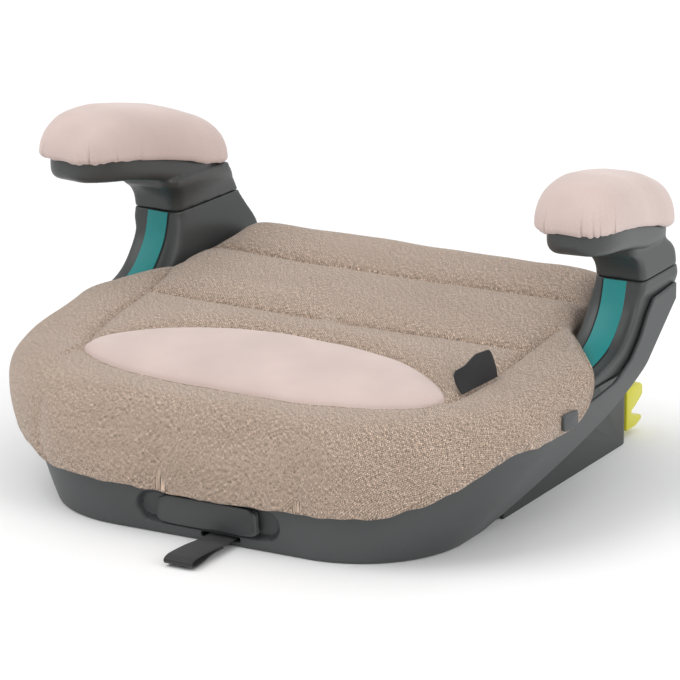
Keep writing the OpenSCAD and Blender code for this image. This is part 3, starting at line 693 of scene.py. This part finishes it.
def stitches(name, runs, pitch, length, radius):
    """Threads of a given length and radius, spaced by pitch along each run of points."""
    points, faces = [], []
    angle = np.linspace(0, 2 * math.pi, 6, endpoint=False)
    shape = ((-0.5, 0.15), (-0.35, 0.8), (0.0, 1.0), (0.35, 0.8), (0.5, 0.15))
    for run in runs:
        far = np.concatenate([[0], np.cumsum(np.linalg.norm(np.diff(run, axis=0), axis=1))])
        at = np.arange(pitch, far[-1] - pitch, pitch)
        middle = np.stack([np.interp(at, far, run[:, i]) for i in range(3)], -1)
        ahead = np.stack([np.interp(at + 0.5, far, run[:, i]) for i in range(3)], -1) - middle
        ahead /= np.linalg.norm(ahead, axis=1, keepdims=True)
        across = np.cross(ahead, (0, 0, 1.0))
        across /= np.linalg.norm(across, axis=1, keepdims=True)
        up = np.cross(across, ahead)
        for c, t, b, n in zip(middle, ahead, across, up):
            start = sum(len(p) for p in points)
            circle = np.cos(angle)[:, None] * b + np.sin(angle)[:, None] * n
            loops = [c + t * a * length + radius * r * circle for a, r in shape]
            points.append(np.vstack(loops))
            faces += quads(len(shape), len(angle), start=start)
            faces += [(start + np.arange(6)).tolist(), (start + 24 + np.arange(6)).tolist()]
    return put_mesh(name, np.vstack(points), faces)


def make_label():
    """Tape label standing in the side seam, its two layers as one tab: its height changes along the
    seam, it leans in towards the middle and its free corner curls."""
    n, m = 48, 24
    along = np.linspace(0, 1, n)[:, None]
    up = np.linspace(0, 1, m)[None, :]
    tall = table(along, ((0, 13.5), (0.06, 16), (0.3, 17), (0.5, 20), (0.62, 21.5), (0.95, 20.5), (1, 18)))
    lean = math.radians(20)
    base_x = 152 + 8.1 * along
    base_y = -100 + 37.6 * along
    base_z = seat_height(base_x, base_y) + 0.4
    rise = tall * up
    curl = 2.2 * np.sin(math.pi * up) * np.cos(along * 4.2) + 3.0 * (up**2) * (1 - along) ** 2
    inward = rise * math.sin(lean) + curl
    x = base_x - 0.977 * inward
    y = base_y + 0.211 * inward
    z = base_z + rise * math.cos(lean)
    face = np.stack([x, y, z], -1)
    out = np.array((0.92, -0.2, 0.34)) * 0.55
    loops = np.concatenate([face + out, (face - out)[:, ::-1]], axis=1)
    flat = np.stack([np.repeat(along * 38.5, m, axis=1), rise], -1)
    uv = np.concatenate([flat, flat[:, ::-1]], axis=1) * MM
    return skin("side_label", loops, uv, 50)


# ---------------------------------------------------------------- armrests
# HEM_CURVE and UNDER_CURVE are (place along the armrest, z), ARM_OUTER (z, x) and FRONT_CURVE (z, y).
# Each row of the upright is z, the front y, the rear y of its outer and inner faces, and the inner x
# in front and behind. PAD_FOLDS are (angle round the pad, depth).
ARM_MIDDLE = (196.5, 34.0)
TOE_OUT = math.radians(7.5)
PAD_LENGTH, PAD_WIDTH, PAD_HEIGHT, PAD_LIP = 178.0, 66.0, 33.0, 5.0
PAD_ALONG, PAD_ACROSS = 2.5, -1.2
BEAM_MIDDLE, BEAM_HALF, BEAM_WIDTH = 3.5, 84.5, 26.5
HEM_CURVE = ((-95, 215), (-85, 215), (-60, 214.5), (-30, 210.3), (0, 204), (29, 197), (50, 190.3),
             (76, 184.5), (95, 181))
UNDER_CURVE = ((-81, 207), (-78, 202), (-72, 198.5), (-55, 196), (-34, 193), (-8, 188), (14, 182.5),
               (30, 179), (60, 176), (88, 173))
LOWER_ROWS = ((94, -36, 69, 150, 168, 164), (97, -24, 73, 152, 168, 164),
              (100, -10, 77, 154, 168, 164), (103, 6, 81, 157, 168, 162),
              (106, 20, 85, 160, 169, 160.5), (110, 31.5, 90, 162, 169.5, 159.5),
              (116, 41, 100, 163, 170, 158.8), (124, 49, 113, 161, 170.5, 158.5),
              (132, 55, 123, 157, 171, 159.5), (140, 58.5, 124, 152, 171.5, 162),
              (149, 61, 123, 147.5, 173, 165.5), (153.8, 62, 121, 145.5, 173, 167))
UPPER_ROWS = ((154.2, 62, 121, 145, 173, 167), (160, 61, 120, 141.5, 173, 167),
              (166, 58.5, 118, 136.5, 172, 166), (172, 53, 112, 130, 170, 163),
              (177, 45, 104, 124, 168, 161), (183, 42, 98, 118, 166.8, 160))
ARM_OUTER = ((94, 209.6), (106, 210), (138, 210.4), (146, 213.2), (180, 213.2))
FRONT_CURVE = ((103, 6), (106, 20), (110, 31.5), (116, 41), (124, 49), (132, 55),
               (140, 58.5), (149, 61), (153.2, 61.8))
ARM_ROUNDING = (5, 5, 5, 10)
PAD_FOLDS = {
    "left": ((-2.62, 2.2), (-2.05, 1.8), (-1.72, 1.3), (-0.62, 1.6), (-0.45, 1.2), (2.9, 1.4), (1.2, 1.5)),
    "right": ((-2.9, 1.8), (3.02, 2.4), (2.78, 1.6), (2.62, 1.3), (2.2, 2.0), (-1.4, 1.5), (0.5, 1.2)),
}


def arm_place(along, across):
    """Plan position on the armrest's own axis, which turns outwards towards the front."""
    return (ARM_MIDDLE[0] - along * math.sin(TOE_OUT) + across * math.cos(TOE_OUT),
            ARM_MIDDLE[1] + along * math.cos(TOE_OUT) + across * math.sin(TOE_OUT))


def rounded(corners, reach, steps=8):
    """Closed polygon whose corners are quadratic arcs that start reach away from each corner."""
    corners = np.asarray(corners, float)
    reach = np.broadcast_to(reach, len(corners))
    t = np.linspace(0, 1, steps)[:, None]
    arcs = []
    for i, p in enumerate(corners):
        a, b = corners[i - 1] - p, corners[(i + 1) % len(corners)] - p
        a, b = p + reach[i] * a / np.linalg.norm(a), p + reach[i] * b / np.linalg.norm(b)
        arcs.append((1 - t) ** 2 * a + 2 * t * (1 - t) * p + t**2 * b)
    return np.vstack(arcs)


def arm_loops(rows, count):
    """Sections of the upright at even heights, each a rounded four-sided outline."""
    rows = spline(rows, count)
    loops = []
    for z, front, outer, inner, front_x, rear_x in rows:
        x = float(table(z, ARM_OUTER))
        plan = rounded(((x, front + 1.5), (x, outer), (rear_x, inner), (front_x, front)), ARM_ROUNDING)
        loops.append(np.column_stack([plan, np.full(len(plan), z)]))
    return np.array(loops)


def beam_loops(count):
    """Sections across the beam that carries the pad: its width falls off as (1 - s^5)^(1/2.4)."""
    loops = []
    for t in BEAM_MIDDLE + np.sin(np.linspace(-1, 1, count) * math.pi / 2) * (BEAM_HALF - 0.2):
        w = BEAM_WIDTH * (1 - min(1, abs(t - BEAM_MIDDLE) / BEAM_HALF) ** 5) ** (1 / 2.4)
        low, high = float(table(t, UNDER_CURVE)), float(table(t, HEM_CURVE)) + 1.8
        c = min(9, (high - low) * 0.48, w * 0.6)
        plan = rounded(((w, low), (-w, low), (-w, high), (w, high)), (c, c, c / 3, c / 3), 6)
        x, y = arm_place(t, plan[:, 0])
        loops.append(np.column_stack([x, y, plan[:, 1]]))
    return np.array(loops)


def mirrored(loops, sign):
    """The loops on the side that sign names."""
    return np.asarray(loops) * (sign, 1, 1)


def make_arm_upper(side, sign):
    """Beam and upright grown into one moulding, with a soft fillet where they meet."""
    parts = [skin("beam", mirrored(beam_loops(60), sign)),
             skin("upright", mirrored(arm_loops(UPPER_ROWS, 20), sign))]
    return knead(joined("arm_upper_moulding_" + side, parts), 1.3, 6)


def make_arm_lower(side, sign):
    """The upright's lower half, flaring towards the seat."""
    piece = skin("arm_lower_moulding_" + side, mirrored(arm_loops(LOWER_ROWS, 44), sign))
    return knead(piece, 1.3, 3)


def strip_loops(x0, x1, proud, depth, ends):
    """A strip let into the upright's front: it follows the front curve between two distances x."""
    path = spline(FRONT_CURVE, 60)
    z, y = path[:, 0], path[:, 1]
    lean = np.gradient(y, z)
    normal = np.stack([-np.ones_like(lean), lean], -1) / np.sqrt(1 + lean**2)[:, None]
    z = np.clip(z, FRONT_CURVE[0][0] - ends, FRONT_CURVE[-1][0] + ends)
    loops = []
    for i in range(len(z)):
        front_x, outer_x = 174.0, float(table(z[i], ARM_OUTER))
        profile = rounded(((x0, proud), (x1, proud), (x1, -depth), (x0, -depth)), 0.5, 4)
        slant = 3 * (profile[:, 0] - front_x) / (outer_x - front_x)
        loops.append(np.column_stack([
            profile[:, 0], y[i] + slant + normal[i, 0] * profile[:, 1], z[i] + normal[i, 1] * profile[:, 1]]))
    return np.array(loops)


def pad_dome(s, r):
    """Pad height over its widest line at distance r from the crown: (1 - r^3.5)^0.48, higher behind."""
    return PAD_HEIGHT * (1 + 0.05 * s) * np.maximum(0, 1 - r**3.5) ** 0.48


def make_pad(side, sign):
    """The armrest's padded cover: rings of a blunt oval from the crown to the hem, tucked in at the
    hem, where the elastic gathers it, then closed underneath."""
    cols, rings = 320, 64
    a = np.linspace(0, 2 * math.pi, cols, endpoint=False)
    ca, sa = np.cos(a), np.sin(a)
    px, py = np.sign(ca) * np.abs(ca) ** 0.5, np.sign(sa) * np.abs(sa) ** 0.5
    rho = 1 - (1 - np.linspace(0.02, 1, rings)) ** 2.4
    radius = 95.0
    arc = a * radius
    seed = 0.0 if sign > 0 else 1.7
    gather = (np.sin(arc / 4.1 + seed + 2.2 * np.sin(arc / 21.0))
              + 0.8 * np.sin(arc / 2.6 + 1.4 * np.sin(arc / 13.0 + seed)) + 0.9 * np.sin(arc / 9.0 + seed))
    amount = 0.35 + 0.65 * np.abs(np.cos(a)) ** 1.5
    folds = np.zeros(cols)
    for place, depth in PAD_FOLDS[side]:
        gap = (a - place + math.pi) % (2 * math.pi) - math.pi
        folds += depth * (np.exp(-(gap * radius / 1.3) ** 2)
                          - 0.35 * np.exp(-((np.abs(gap) * radius - 3.2) / 1.8) ** 2))
    lip = [(1 - 0.09 * (1 - math.cos(b)), PAD_LIP * (1 - math.sin(b)), 1.0)
           for b in np.linspace(0, math.pi / 2, 9)[1:]]
    loops = []
    for scale, height, r in [(r, None, r) for r in rho] + lip:
        s, q = scale * px, scale * py
        z = pad_dome(s, r) + PAD_LIP if height is None else np.full(cols, height)
        pull = 0.42 * gather * amount * np.exp(-z / 6.0) + folds * np.exp(-z / 11.0)
        pull = pull * smoothstep(scale, 0.7, 0.95)
        flat = np.hypot(s * PAD_LENGTH / 2, q * PAD_WIDTH / 2)
        shrink = 1 - pull / np.maximum(flat, 20)
        along, across = PAD_ALONG + s * PAD_LENGTH / 2 * shrink, q * PAD_WIDTH / 2 * shrink + PAD_ACROSS
        x, y = arm_place(along, across)
        scallop = 0.3 * gather * amount * np.exp(-z / 3.0) * (r > 0.9)
        loops.append(np.column_stack([x, y, table(along, HEM_CURVE) + z + scallop]))
    for r, lift in ((0.89, 0.8), (0.86, 2.6), (0.6, 2.6), (0.3, 2.6), (0.05, 2.6)):
        along, across = PAD_ALONG + px * r * PAD_LENGTH / 2, py * r * PAD_WIDTH / 2 + PAD_ACROSS
        x, y = arm_place(along, across)
        loops.append(np.column_stack([x, y, table(along, HEM_CURVE) + lift]))
    uv = np.array([np.column_stack([(l[:, 0] + l[:, 2] * 0.4), l[:, 1] + l[:, 2] * 0.6]) for l in loops]) * MM
    return skin("arm_pad_" + side, mirrored(loops, sign), uv)


# ---------------------------------------------------------------- base
SHELL_HALF, FOOT_HALF, FRONT_REACH, FOOT_CORNER = 214.0, 159.0, 192.0, 80.0
FLARE_HEIGHT, FLARE_POWER, SIDE_END, WALL = 93.0, 1.37, 117.0, 3.0
# Openings in the shell's front: left and right x, lower and upper z.
DRAWER_MOUTH = (-38.6, 38.6, 10.4, 29.2)
STRAP_SLOT = (-6.0, 26.0, 3.3, 7.5)


def plan_curve(u, half, reach, r, end):
    """Half outline in plan: u 0-1 runs over the front, 1-2 round the corner and 2-3 along the side."""
    a = np.clip(u - 1, 0, 1) * math.pi / 2
    x = np.where(u <= 1, u * (half - r), half - r + r * np.sin(a))
    side = r - reach + (u - 2) * (end - r + reach)
    y = np.where(u <= 1, -reach, np.where(u <= 2, r - reach - r * np.cos(a), side))
    return x, y


def scoop(x, z):
    """Share of the finger scoops' depth at x and z: a long round-ended dish with soft sides."""
    inside = 11.6 - np.hypot(np.maximum(np.abs(x) - 46.4, 0), z - 19.8)
    return smoothstep(inside, -0.8, 3.6)


def make_shell():
    """The outer shell: a wall of even thickness whose half width flares out as a power of height,
    swept from one wing round the front to the other, with rounded upper and lower rims."""
    u = np.concatenate([np.linspace(0, 1, 84), np.linspace(1, 2, 40)[1:], np.linspace(2, 3, 60)[1:]])
    side_y = plan_curve(u, 200, 196, 120, SIDE_END)[1]
    low = np.maximum(0, 0.76 * (side_y + 51))
    wing = table(side_y, WING_TOP) - 8 * np.clip(2 - u, 0, 1)
    high = np.where(u <= 1, 58, np.maximum(58 + 16 * (u - 1), wing))
    high = np.maximum(high, low + 4)
    edge = np.linspace(0, math.pi, 7)[1:-1]
    half_wall = WALL / 2
    outer = np.linspace(0, 1, 46)
    rows = [(f, 0.0, 0.0) for f in outer]
    rows += [(1.0, half_wall * (1 - math.cos(e)), half_wall * math.sin(e)) for e in edge]
    rows += [(f, WALL, 0.0) for f in outer[::-1]]
    rows += [(0.0, half_wall * (1 + math.cos(e)), -half_wall * math.sin(e)) for e in edge]
    loops = []
    for share, inset, lift in rows:
        z = (low + half_wall) + (high - low - WALL) * share + lift
        half = SHELL_HALF - (SHELL_HALF - FOOT_HALF) * np.maximum(0, 1 - z / FLARE_HEIGHT) ** FLARE_POWER
        corner = np.minimum(130, FOOT_CORNER + 0.8 * z)
        x, y = plan_curve(u, half - inset, FRONT_REACH + 0.1 * z - inset, corner - inset, SIDE_END)
        y = y + scoop(x, z) * (6.2 - 0.6 * min(inset, WALL))
        loops.append(np.stack([x, y, z], -1))
    right = np.array(loops).transpose(1, 0, 2)
    left = right[:0:-1] * (-1, 1, 1)
    piece = skin("outer_shell", np.concatenate([left, right]))
    for cutter in (bar_cutter("mouth", *DRAWER_MOUTH, 4, 8, -178),
                   bar_cutter("slot", *STRAP_SLOT, 1.5, 6, -180)):
        cut = piece.modifiers.new("cut", "BOOLEAN")
        cut.operation = "DIFFERENCE"
        cut.solver = "EXACT"
        cut.object = cutter
        settle(piece, 32)
        discard(cutter)
    return piece


def bar_cutter(name, left, right, low, high, corner, steps, rear):
    """A rounded bar along Y, from in front of the shell back to rear, that opens its wall."""
    plan = rounded(((left, low), (right, low), (right, high), (left, high)), corner, steps)
    loops = [np.column_stack([plan[:, 0], np.full(len(plan), y), plan[:, 1]]) for y in (-215, rear)]
    return skin(name, loops)


def make_front_panel():
    """The drawer's blank front: a tapered plate whose face is sunk inside a rim and crowned a little."""
    n, m = 60, 24
    u = np.linspace(-1, 1, n)[:, None]
    v = np.linspace(-1, 1, m)[None, :]
    power = 7.0
    squeeze = np.maximum(np.abs(u) ** power + np.abs(v) ** power, 1e-9) ** (1 / power)
    edge = np.maximum(np.abs(u), np.abs(v))
    ring = edge / squeeze
    x = u * ring * (40.9 - 0.75 * (1 + v))
    z = 19.8 + 10.2 * (v * ring)
    proud = (-0.55 * smoothstep(0.985 - edge, 0.02, 0.06) + 0.35 * (1 - smoothstep(edge, 0.0, 0.9))
             - smoothstep(edge, 0.965, 1.0))
    front = np.stack([x, -195.6 - proud, z], -1)
    back = np.stack([x, np.full_like(x, -191.0), z], -1)
    loops = np.concatenate([front, back[:, ::-1]], axis=1)
    return skin("drawer_front", loops, None, 50)


def make_strap():
    """The pull strap: webbing along its route out of the slot, folded back on itself at the tip."""
    route = ((-62, 12.05), (-58.6, 10.5), (-57.7, 7.75), (-58.6, 5.2), (-62, 4.0), (-70, 4.3), (-120, 4.55),
             (-196, 4.6), (-206, 5.0), (-222, 6.5), (-240, 7.2), (-247.5, 6.9), (-251.4, 5.2), (-250.8, 2.9),
             (-246.5, 1.7), (-236, 2.2), (-222, 4.0), (-208, 3.9))
    path = spline(route, 260)
    tangent = np.gradient(path, axis=0)
    tangent /= np.linalg.norm(tangent, axis=1, keepdims=True)
    normal = np.stack([-tangent[:, 1], tangent[:, 0]], -1)
    far = np.concatenate([[0], np.cumsum(np.linalg.norm(np.diff(path, axis=0), axis=1))])
    profile = rounded(((-11.4, -0.5), (11.4, -0.5), (11.4, 0.5), (-11.4, 0.5)), 0.4, 4)
    loops = np.stack([
        np.column_stack([np.full(len(profile), 10.0) + profile[:, 0],
                         p[0] + n[0] * profile[:, 1], p[1] + n[1] * profile[:, 1]])
        for p, n in zip(path, normal)])
    uv = np.stack([np.column_stack([profile[:, 0], np.full(len(profile), f)]) for f in far]) * MM
    return skin("pull_strap", loops, uv, 50)


# ---------------------------------------------------------------- settings
def shade_prop(name, description, color):
    """A colour property."""
    return bpy.props.FloatVectorProperty(
        name=name, description=description, default=color, subtype="COLOR", min=0.0, max=1.0, size=3)


class CoverSettings(bpy.types.PropertyGroup):
    """Colours and weave of the covers"""

    woven: shade_prop("Woven cover", "Middle shade of the melange cover", (0.4, 0.31, 0.245))
    smooth: shade_prop("Smooth cover", "Colour of the smooth panels and pads", (0.6, 0.482, 0.445))
    pitch: bpy.props.FloatProperty(name="Weave pitch", description="Distance between yarns, in millimetres",
                                   default=0.95, min=0.5, max=4.0)


class MouldingSettings(bpy.types.PropertyGroup):
    """Colours of the mouldings"""

    dark: shade_prop("Dark moulding", "Colour of the armrests and housing", (0.043, 0.047, 0.047))
    shell: shade_prop("Shell", "Colour of the outer shell", (0.056, 0.06, 0.061))
    guide: shade_prop("Belt guide", "Colour of the belt guides", (0.008, 0.24, 0.24))
    fork: shade_prop("Connector", "Colour of the connector forks and buttons", (0.62, 0.59, 0.03))


class StageSettings(bpy.types.PropertyGroup):
    """Place and lens of the camera"""

    distance: bpy.props.FloatProperty(name="Camera distance",
                                      description="From the seat's middle to the camera",
                                      default=3.755, min=1.0, max=20.0, subtype="DISTANCE", unit="LENGTH")
    azimuth: bpy.props.FloatProperty(name="Azimuth", description="Turn of the camera to the seat's left",
                                     default=math.radians(28.81), subtype="ANGLE", unit="ROTATION")
    elevation: bpy.props.FloatProperty(name="Elevation", description="Height of the camera as an angle",
                                       default=math.radians(17.0), subtype="ANGLE", unit="ROTATION")
    lens: bpy.props.FloatProperty(name="Lens", description="Focal length", default=273.0, min=20.0, max=600.0,
                                  subtype="DISTANCE_CAMERA", unit="CAMERA")


# ---------------------------------------------------------------- operators
class SEAT_OT_stage(bpy.types.Operator):
    """Floor, soft studio light and camera"""

    bl_idname = "booster.stage"
    bl_label = "Stage"

    def execute(self, context):
        s = context.scene.booster_stage
        floor_finish = Finish("studio_floor", (0.9, 0.9, 0.9), 0.9, specular_ior_level=0.1)
        tone = floor_finish.noise(floor_finish.coords.outputs["Object"], 3.0, 2.0)
        floor_finish.color(floor_finish.ramp(tone, (0.3, (0.895, 0.895, 0.9)), (0.7, (0.905, 0.905, 0.905))))
        corner = 12000.0
        floor = put_mesh("floor", [(-corner, -corner, -0.3), (corner, -corner, -0.3),
                                   (corner, corner, -0.3), (-corner, corner, -0.3)], [(0, 1, 2, 3)])
        floor.data.materials.append(floor_finish.material)
        world = bpy.data.worlds.new("studio")
        world.use_nodes = True
        world.node_tree.nodes["Background"].inputs[0].default_value = (1.0, 1.0, 1.0, 1.0)
        world.node_tree.nodes["Background"].inputs[1].default_value = 0.86
        context.scene.world = world
        context.scene.view_settings.view_transform = "Standard"
        for name, place, size, power in (("key", (-1.1, -1.3, 2.4), 2.0, 30.0),
                                         ("right", (2.6, -0.6, 1.3), 1.4, 18.0),
                                         ("back", (0.4, 2.4, 2.2), 1.6, 12.0)):
            light = bpy.data.lights.new(name, "AREA")
            light.energy = power
            light.size = size
            lamp = bpy.data.objects.new(name, light)
            lamp.location = place
            aim = np.array((0.0, 0.0, 0.12)) - np.array(place)
            lamp.rotation_euler = aim_rotation(aim)
            context.scene.collection.objects.link(lamp)
        camera = bpy.data.objects.new("camera", bpy.data.cameras.new("camera"))
        camera.data.sensor_width = 36.0
        camera.data.lens = s.lens
        camera.data.clip_end = 60.0
        level = math.cos(s.elevation)
        away = np.array((math.sin(s.azimuth) * level, -math.cos(s.azimuth) * level, math.sin(s.elevation)))
        camera.location = np.array((0.0, -0.00057, 0.09678)) + s.distance * away
        camera.rotation_euler = aim_rotation(-away)
        context.scene.collection.objects.link(camera)
        context.scene.camera = camera
        return {"FINISHED"}


def aim_rotation(direction):
    """Euler angles that point an object's -Z along direction, with its X level."""
    x, y, z = np.asarray(direction, float) / np.linalg.norm(direction)
    return (math.pi / 2 + math.asin(z), 0.0, math.atan2(-x, y))


class SEAT_OT_cushion(bpy.types.Operator):
    """Padded woven cover with its smooth panel, stitching and label"""

    bl_idname = "booster.cushion"
    bl_label = "Cushion"

    def execute(self, context):
        s = context.scene.booster_covers
        woven = woven_finish("woven_melange", tuple(s.woven), s.pitch)
        smooth = knit_finish("smooth_knit_panel", tuple(s.smooth))
        cushion, outer, normal = make_cushion()
        dress(cushion, woven, "seat")
        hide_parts("seat_cover", "seat_foam")
        insert = make_insert()
        dress(insert, smooth, "seat")
        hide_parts("cover_insert")
        thread = sewn_rows(outer, normal)
        dress(thread, moulded_finish("thread", (0.36, 0.28, 0.22), 0.7, 0.85, 0.2), "seat")
        binding = make_bindings(outer, normal)
        dress(binding, woven, "seat")
        # Partly painted shade: the very dark seam thread also stands for the shadow in the sewn grooves.
        dress(seam_shade_threads(), moulded_finish("seam_shade_thread", (0.1, 0.075, 0.058), 0.7, 0.85, 0.2),
              "seat")
        label = make_label()
        dress(label, tape_finish("label_satin", (0.012, 0.012, 0.014), 0.5, 0.1), "seat")
        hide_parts("cover_tag")
        return {"FINISHED"}


class SEAT_OT_armrests(bpy.types.Operator):
    """Both armrests: mouldings, belt guides and padded covers"""

    bl_idname = "booster.armrests"
    bl_label = "Armrests"

    def execute(self, context):
        s = context.scene.booster_mouldings
        dark = moulded_finish("armrest_moulding", tuple(s.dark), 0.36, 0.48, 0.1)
        # Painted shadow: a near-black finish for the strip that stands for the shadow in the gap round each
        # belt guide.
        shadow = moulded_finish("painted_gap_shadow", (0.008, 0.008, 0.009), 0.6, 0.8)
        teal = moulded_finish("guide_teal", tuple(s.guide), 0.5, 0.6, 0.06)
        smooth = knit_finish("smooth_knit_pad", tuple(context.scene.booster_covers.smooth))
        for side, sign in SIDES:
            upper = make_arm_upper(side, sign)
            dress(upper, dark, "seat")
            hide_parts("arm_upper_" + side)
            lower = make_arm_lower(side, sign)
            dress(lower, dark, "seat")
            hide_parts("arm_lower_" + side)
            # Painted shadow: a black strip a little wider than the belt guide lies under it, so that a dark
            # outline stands for the shadow in the gap round the guide.
            gap_shadow_strip = skin("guide_gap_shadow_" + side, mirrored(strip_loops(180.7, 201.3, 0.5, 2.0, 0.4), sign),
                          crease=50)
            dress(gap_shadow_strip, shadow, "seat")
            strip = skin("guide_strip_" + side, mirrored(strip_loops(182.2, 199.8, 1.2, 2.0, 0.0), sign),
                         crease=50)
            dress(strip, teal, "seat")
            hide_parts("belt_guide_" + side)
            pad = make_pad(side, sign)
            dress(pad, smooth, "seat")
            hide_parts("arm_cover_" + side, "arm_foam_" + side)
        return {"FINISHED"}


class SEAT_OT_base(bpy.types.Operator):
    """Outer shell, housing, bottom cover and the small fittings on them"""

    bl_idname = "booster.base"
    bl_label = "Base"

    def execute(self, context):
        s = context.scene.booster_mouldings
        shell_finish = moulded_finish("shell_moulding", tuple(s.shell), 0.38, 0.5, 0.08)
        dark = moulded_finish("housing_moulding", tuple(s.dark), 0.42, 0.56, 0.14)
        steel = metal_finish("plated_steel", (0.55, 0.56, 0.58))
        rubber = moulded_finish("rubber", (0.02, 0.02, 0.021), 0.75, 0.9, 0.3)
        shell = make_shell()
        dress(shell, shell_finish, "seat")
        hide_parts("base_shell")
        for node, width in (("rear_housing", 1.0), ("bottom_cover", 0.6), ("seat_pan", 0.6),
                            ("drawer_bezel", 0.3), ("drawer_runners", 0.5)):
            dress(eased(node, node + "_moulding", width), dark, "seat")
        for side, _ in SIDES:
            dress(eased("cover_hook_" + side, "flap_hook_" + side, 0.9, 3), shell_finish,
                  "seat")
        for node, material in (("base_screws", steel), ("arm_screws", steel), ("pawl_pin", steel),
                               ("pawl_spring", steel), ("rubber_feet", rubber)):
            coat(NODES[node], material)
        return {"FINISHED"}


class SEAT_OT_drawer(bpy.types.Operator):
    """The cup holder drawer and its front"""

    bl_idname = "booster.drawer"
    bl_label = "Cup holder"

    def execute(self, context):
        s = context.scene.booster_mouldings
        dark = moulded_finish("drawer_moulding", tuple(s.dark), 0.42, 0.55, 0.12)
        dress(eased("cup_holder", "cup_tray", 0.7, 3), dark, "drawer")
        front = make_front_panel()
        dress(front, moulded_finish("front_moulding", (0.05, 0.052, 0.053), 0.3, 0.42, 0.05),
              "drawer")
        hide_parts("drawer_panel")
        return {"FINISHED"}


class SEAT_OT_anchors(bpy.types.Operator):
    """The anchor carriage, its connectors, the adjuster and the pull strap"""

    bl_idname = "booster.anchors"
    bl_label = "Anchors"

    def execute(self, context):
        s = context.scene.booster_mouldings
        dark = moulded_finish("casing_moulding", tuple(s.dark), 0.42, 0.55, 0.12)
        lime = moulded_finish("connector_lime", tuple(s.fork), 0.34, 0.46, 0.06)
        steel = metal_finish("carriage_steel", (0.5, 0.51, 0.53))
        dress(eased("isofix_frame", "carriage_frame", 0.5), steel, "carriage")
        dress(eased("adjuster_pawl", "adjuster_lever", 0.4), steel, "pawl")
        for side, _ in SIDES:
            dress(eased("connector_casing_" + side, "casing_" + side, 0.8, 3), dark,
                  "carriage")
            dress(eased("guide_fork_" + side, "fork_" + side, 1.0, 3), lime, "carriage")
            dress(eased("jaw_" + side, "hook_jaw_" + side, 0.4), steel, "jaw_" + side)
            dress(eased("release_button_" + side, "button_" + side, 0.6, 3), lime,
                  "button_" + side)
            for node in ("jaw_pin_" + side, "jaw_spring_" + side):
                coat(NODES[node], steel)
        strap = make_strap()
        dress(strap, tape_finish("webbing_black", (0.014, 0.014, 0.015), 1.3, 0.15), "strap")
        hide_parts("release_strap")
        return {"FINISHED"}


class SEAT_PT_panel(bpy.types.Panel):
    """Sizes, colours and pieces of the booster seat"""

    bl_idname = "SEAT_PT_panel"
    bl_label = "Booster seat"
    bl_space_type = "VIEW_3D"
    bl_region_type = "UI"
    bl_category = "Booster seat"

    def draw(self, context):
        for name, _ in GROUPS:
            group = getattr(context.scene, name)
            box = self.layout.box()
            for key in group.__annotations__:
                box.prop(group, key)
        for operator in OPERATORS:
            self.layout.operator(operator.bl_idname)


OPERATORS = (SEAT_OT_stage, SEAT_OT_cushion, SEAT_OT_armrests, SEAT_OT_base, SEAT_OT_drawer, SEAT_OT_anchors)
GROUPS = (("booster_covers", CoverSettings), ("booster_mouldings", MouldingSettings),
          ("booster_stage", StageSettings))


def register():
    """Registers the classes and the settings."""
    for _, group in GROUPS:
        bpy.utils.register_class(group)
    for item in (*OPERATORS, SEAT_PT_panel):
        bpy.utils.register_class(item)
    for key, group in GROUPS:
        setattr(bpy.types.Scene, key, bpy.props.PointerProperty(type=group))


def unregister():
    """Takes the settings and the classes out again."""
    for key, _ in GROUPS:
        delattr(bpy.types.Scene, key)
    for item in (SEAT_PT_panel, *reversed(OPERATORS)):
        bpy.utils.unregister_class(item)
    for _, group in reversed(GROUPS):
        bpy.utils.unregister_class(group)


def main():
    """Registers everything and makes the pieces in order."""
    register()
    bpy.ops.booster.stage()
    bpy.ops.booster.cushion()
    bpy.ops.booster.armrests()
    bpy.ops.booster.base()
    bpy.ops.booster.drawer()
    bpy.ops.booster.anchors()


if __name__ == "__main__":
    main()
